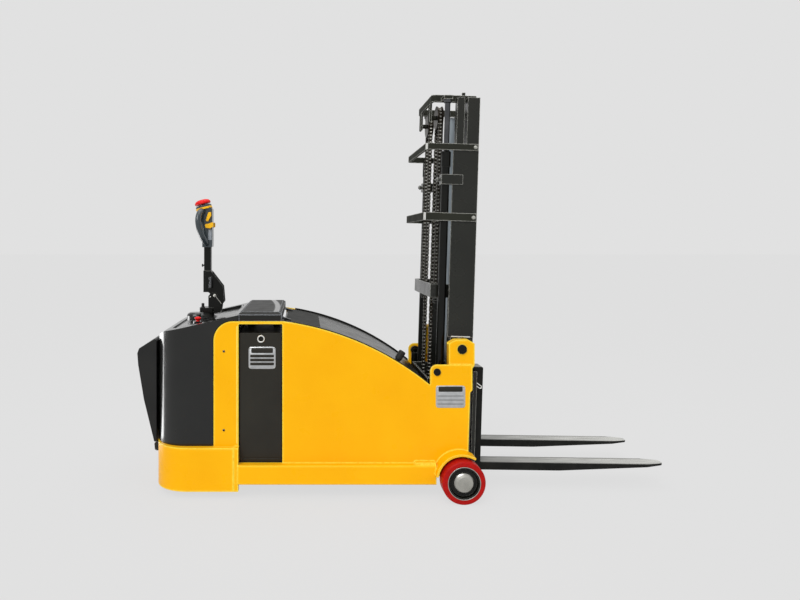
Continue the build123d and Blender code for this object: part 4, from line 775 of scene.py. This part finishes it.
def body_trim():
    """Panel screws, pale strips that paint the highlight on the panels' edges, rings around the battery's
    eyes, and cheeks at the platform's hinge.
    """
    screws = [loft(spot(pan_screw((SCREW_X, PLATE_Y, z), NEAR, SCREW_R))) for z in SCREW_Z]
    piece("panel_screws", joined(screws), BLACK, "chassis")
    # Pale yellow strips on the panels' edges: a painted highlight.
    edges = [blank_plate(PANEL_EDGE_X, PANEL_EDGE_Z, side * PLATE_Y) for side in (1, -1)]
    piece("panel_edge_highlights", joined(edges), EDGE_HIGHLIGHT, "chassis")
    eyes = [trim_ring(EYE_R, EYE_RISE, (EYE_X, side * BATTERY_Y, EYE_Z), (0, -side, 0)) for side in (1, -1)]
    piece("battery_eye_rings", joined(eyes), POLISH, "chassis")
    cheek = np.array(FOLD) + CHEEK
    cheeks = [loft(spot(upright_plate(cheek, y, y - CHEEK_THICK))) for y in (CHEEK_Y, CHEEK_THICK - CHEEK_Y)]
    piece("platform_hinge_cheeks", joined(cheeks), BLACK, "chassis")


def lid_mat():
    """Rubber sheet on the curved cover behind the lid's hinge: a flat section carried along the cover's arc,
    the circle through three of its points."""
    first, second, third = (np.array(point, float) for point in COVER_ARC)
    chords = 2 * np.array([second - first, third - first])
    middle = np.linalg.solve(chords, [second @ second - first @ first, third @ third - first @ first])
    radius = np.linalg.norm(first - middle)
    x = np.linspace(*MAT_X, 24)
    z = middle[1] + np.sqrt(radius ** 2 - (x - middle[0]) ** 2)
    low, high = MAT_SKIN
    section = [(-MAT_Y, low), (MAT_Y, low), (MAT_Y, high), (-MAT_Y, high)]
    rings = np.stack([np.stack([x, np.full_like(x, y), z + rise], -1) for y, rise in section], 1)
    piece("lid_mat", loft(spot(rings)), RUBBER, "chassis")


def wheel_trim():
    """Bright ring inside each front wheel's tread: a painted highlight of the rim's edge."""
    for name, side in (("left", 1), ("right", -1)):
        ring = trim_ring(RIM_R, RIM_RISE, (0, side * RIM_Y, WHEEL_R), (0, side, 0))
        piece("rim_highlight_" + name, ring, ZINC, "front_wheel_" + name)


def hoop_bolts():
    """Bolt on each side of each hoop."""
    bolts = []
    for low, high in TIE_Z:
        for side in (1, -1):
            for ring in hex_bolt((TIE_BOLT_X, side * TIE_Y, (low + high) / 2), (0, side, 0), TIE_BOLT):
                bolts.append(loft(leaned(ring)))
    piece("hoop_bolts", joined(bolts), ZINC, "mast")


def guard_edge_highlight():
    """Painted highlight on the guard sheet's lower edge: a thin, flat, bright strip."""
    corners = [(GUARD_X[i], GUARD_Z[j]) for i, j in ((0, 0), (1, 0), (1, 1), (0, 1))]
    edge = loft(leaned(upright_plate(corners, *GUARD_Y)))
    piece("guard_edge_highlight", edge, POLISH, "mast")


def hoop_bend_highlights():
    """Painted highlight on each hoop's two bends: a thin bright arc about the corner, carried up."""
    turn = np.radians(np.linspace(*BEND_HIGHLIGHT_TURN, 7))
    arc = np.stack([np.cos(turn), np.sin(turn)], -1)
    strip = np.concatenate([(TIE_CORNER - BEND_HIGHLIGHT_SKIN) * arc, (TIE_CORNER + BEND_HIGHLIGHT_SKIN) * arc[::-1]])
    strip += [TIE_REAR + TIE_CORNER, TIE_CORNER - TIE_Y]
    bends = []
    for low, high in TIE_Z:
        for flat in (strip[::-1], strip * [1, -1]):
            rings = [np.insert(flat, 2, z, axis=1) for z in (low + BEND_HIGHLIGHT_INSET, high - BEND_HIGHLIGHT_INSET)]
            bends.append(loft(leaned(rings)))
    piece("hoop_bend_highlights", joined(bends), POLISH, "mast")


def trunnion_caps():
    """Cap on the end of each trunnion, turned about its axis."""
    caps = []
    for side in (1, -1):
        end = PIVOT + [0, side * TRUNNION_END, 0]
        caps.append(loft(spot(turned(TRUNNION_CAP, end, (0, side, 0), sides=48))))
    piece("trunnion_caps", joined(caps), DEEP, "mast")


def bent_wire(path, y, radius):
    """Round wire: a small circle carried along a flat path of (x, z) points at one y, square to the path."""
    path = np.asarray(path, float)
    ahead = np.gradient(path, axis=0)
    ahead /= np.linalg.norm(ahead, axis=1)[:, None]
    around = -np.arange(8) * math.pi / 4
    swing = radius * np.cos(around)
    rise = np.full(len(path), y)[:, None] + radius * np.sin(around)
    x = path[:, :1] - ahead[:, 1:] * swing
    z = path[:, 1:] + ahead[:, :1] * swing
    return loft(spot(np.stack([x, rise, z], -1)))


def fork_trim():
    """Latch on the outer side of each fork's shank: a wire pull bent back on itself."""
    turn = np.linspace(math.pi / 2, -math.pi / 2, 9) - LATCH_SLOPE
    bend = LATCH_BEND + LATCH_R * np.stack([np.cos(turn), np.sin(turn)], -1)
    back = np.array([-math.cos(LATCH_SLOPE), math.sin(LATCH_SLOPE)])
    path = np.concatenate([[bend[0] + LATCH_LEGS[0] * back], bend, [bend[-1] + LATCH_LEGS[1] * back]])
    for name, side in (("left", 1), ("right", -1)):
        pull = bent_wire(path, side * (FORK_SIDE + LATCH_WIRE), LATCH_WIRE)
        piece("fork_latch_" + name, pull, POLISH, "fork_" + name)


def coil(start, radius, wire, pitch, turns):
    """Spring wire: a small circle carried around an upright helix that climbs one pitch per turn."""
    steps = np.linspace(0, turns, 16 * turns + 1)
    angle = 2 * math.pi * steps
    out = np.stack([np.cos(angle), np.sin(angle), np.zeros_like(angle)], -1)
    path = start + radius * out + np.outer(pitch * steps, [0, 0, 1])
    around = -np.arange(8) * math.pi / 4
    ring = np.cos(around)[:, None] * out[:, None] + np.sin(around)[:, None] * [0, 0, 1]
    return loft(spot(path[:, None] + wire * ring))


def tiller_trim():
    """Return spring on the arm; bolt, screw and stay rod on the base; panels and band of the handle."""
    spring = coil(SPRING_FOOT, SPRING_R, SPRING_WIRE, SPRING_PITCH, SPRING_TURNS)
    piece("tiller_spring", spring, CHROME, "tiller")
    fixings = [*hex_bolt(ARM_BOLT_END, NEAR, ARM_BOLT), pan_screw(BASE_SCREW_END, NEAR, BASE_SCREW_R)]
    fixings.append(turned([(STAY_R, 0), (STAY_R, STAY_LONG)], STAY_TOP, STAY_ALONG, sides=12))
    fixings = [loft(spot(rings)) for rings in fixings]
    piece("tiller_fixings", joined(fixings), ZINC, "steer")
    panels = [blank_plate(SIDE_PANEL_X, SIDE_PANEL_Z, side * SIDE_PANEL_Y) for side in (1, -1)]
    piece("tiller_side_panels", joined(panels), PALE, "tiller")
    along = np.array([-math.sin(CROWN_TILT), 0, math.cos(CROWN_TILT)])
    band = trim_ring(CROWN_R, CROWN_RISE, CROWN - CROWN_DROP * along, along)
    piece("tiller_crown_band", band, AMBER, "tiller")


def lights():
    """Soft key from high in front, a softbox above, and a rear strip for the hood's corner to mirror."""
    sun = bpy.data.lights.new("key", "SUN")
    sun.energy = KEY_POWER
    sun.angle = math.radians(KEY_SOFT)
    key = bpy.data.objects.new("key", sun)
    key.rotation_euler = (math.radians(KEY_TURN[0]), 0, math.radians(KEY_TURN[1]))
    bpy.context.scene.collection.objects.link(key)
    for name, place, size, turn, power, gloss_only in LAMPS:
        lamp = bpy.data.lights.new(name, "AREA")
        lamp.shape = "RECTANGLE"
        lamp.size, lamp.size_y = size
        lamp.energy = power
        box = bpy.data.objects.new(name, lamp)
        box.location = place
        box.rotation_euler = (math.radians(turn[0]), 0, math.radians(turn[1]))
        box.visible_camera = not gloss_only
        box.visible_diffuse = not gloss_only
        bpy.context.scene.collection.objects.link(box)


def seen_directly(tree):
    """One for rays that the camera, a gloss or a clear surface sends, zero for those that only light."""
    path = add(tree, "ShaderNodeLightPath").outputs
    seen = path["Is Camera Ray"]
    for kind in ("Is Glossy Ray", "Is Transmission Ray"):
        seen = add(tree, "ShaderNodeMath", {0: seen, 1: path[kind]}, operation="MAXIMUM").outputs[0]
    return seen


def studio_world():
    """Pale world: the camera and reflections see one even grey, and surfaces get half of its light."""
    world = bpy.data.worlds.new("studio")
    bpy.context.scene.world = world
    world.use_nodes = True
    tree = world.node_tree
    tree.nodes.clear()
    level = {"Value": seen_directly(tree), "To Min": 0.5, "To Max": 1.0}
    strength = add(tree, "ShaderNodeMapRange", level).outputs["Result"]
    light = add(tree, "ShaderNodeBackground", {"Color": linear(STUDIO_GREY), "Strength": strength})
    add(tree, "ShaderNodeOutputWorld", {"Surface": light.outputs[0]})


def studio_floor():
    """Matt floor that keeps the shadow; where it is seen it mostly glows with the world's own grey."""
    material = bpy.data.materials.new("studio_floor")
    material.use_nodes = True
    tree = material.node_tree
    tree.nodes.clear()
    matt = add(tree, "ShaderNodeBsdfDiffuse", {"Color": linear(STUDIO_GREY)})
    glow = add(tree, "ShaderNodeEmission", {"Color": linear(STUDIO_GREY), "Strength": 1.0})
    share = add(tree, "ShaderNodeMapRange", {"Value": seen_directly(tree), "To Max": 0.9}).outputs["Result"]
    mix = add(tree, "ShaderNodeMixShader", {0: share, 1: matt.outputs[0], 2: glow.outputs[0]})
    add(tree, "ShaderNodeOutputMaterial", {"Surface": mix.outputs[0]})
    signs = ((-1, -1), (1, -1), (1, 1), (-1, 1))
    corners = [(x * FLOOR_REACH, y * FLOOR_REACH, 0) for x, y in signs]
    mesh = bpy.data.meshes.new("floor")
    mesh.from_pydata(corners, [], [(0, 1, 2, 3)])
    mesh.materials.append(material)
    floor = bpy.data.objects.new("floor", mesh)
    bpy.context.scene.collection.objects.link(floor)


def camera():
    """Camera at the photograph's height and distance, level, square to the truck and shifted to frame it."""
    data = bpy.data.cameras.new("camera")
    data.sensor_width = SENSOR
    data.lens = FOCAL / PHOTO_WIDE * SENSOR
    data.shift_x, data.shift_y = (shift / PHOTO_WIDE for shift in SHIFT)
    data.clip_end = 200
    view = bpy.data.objects.new("camera", data)
    view.location = spot(CAMERA)
    view.rotation_euler = (math.radians(90), 0, 0)
    bpy.context.scene.collection.objects.link(view)
    bpy.context.scene.camera = view


bpy.context.scene.view_settings.view_transform = "Standard"
dress_solids()
chains()
plates()
body_trim()
lid_mat()
wheel_trim()
hoop_bolts()
guard_edge_highlight()
hoop_bend_highlights()
trunnion_caps()
fork_trim()
tiller_trim()
lights()
studio_world()
studio_floor()
camera()
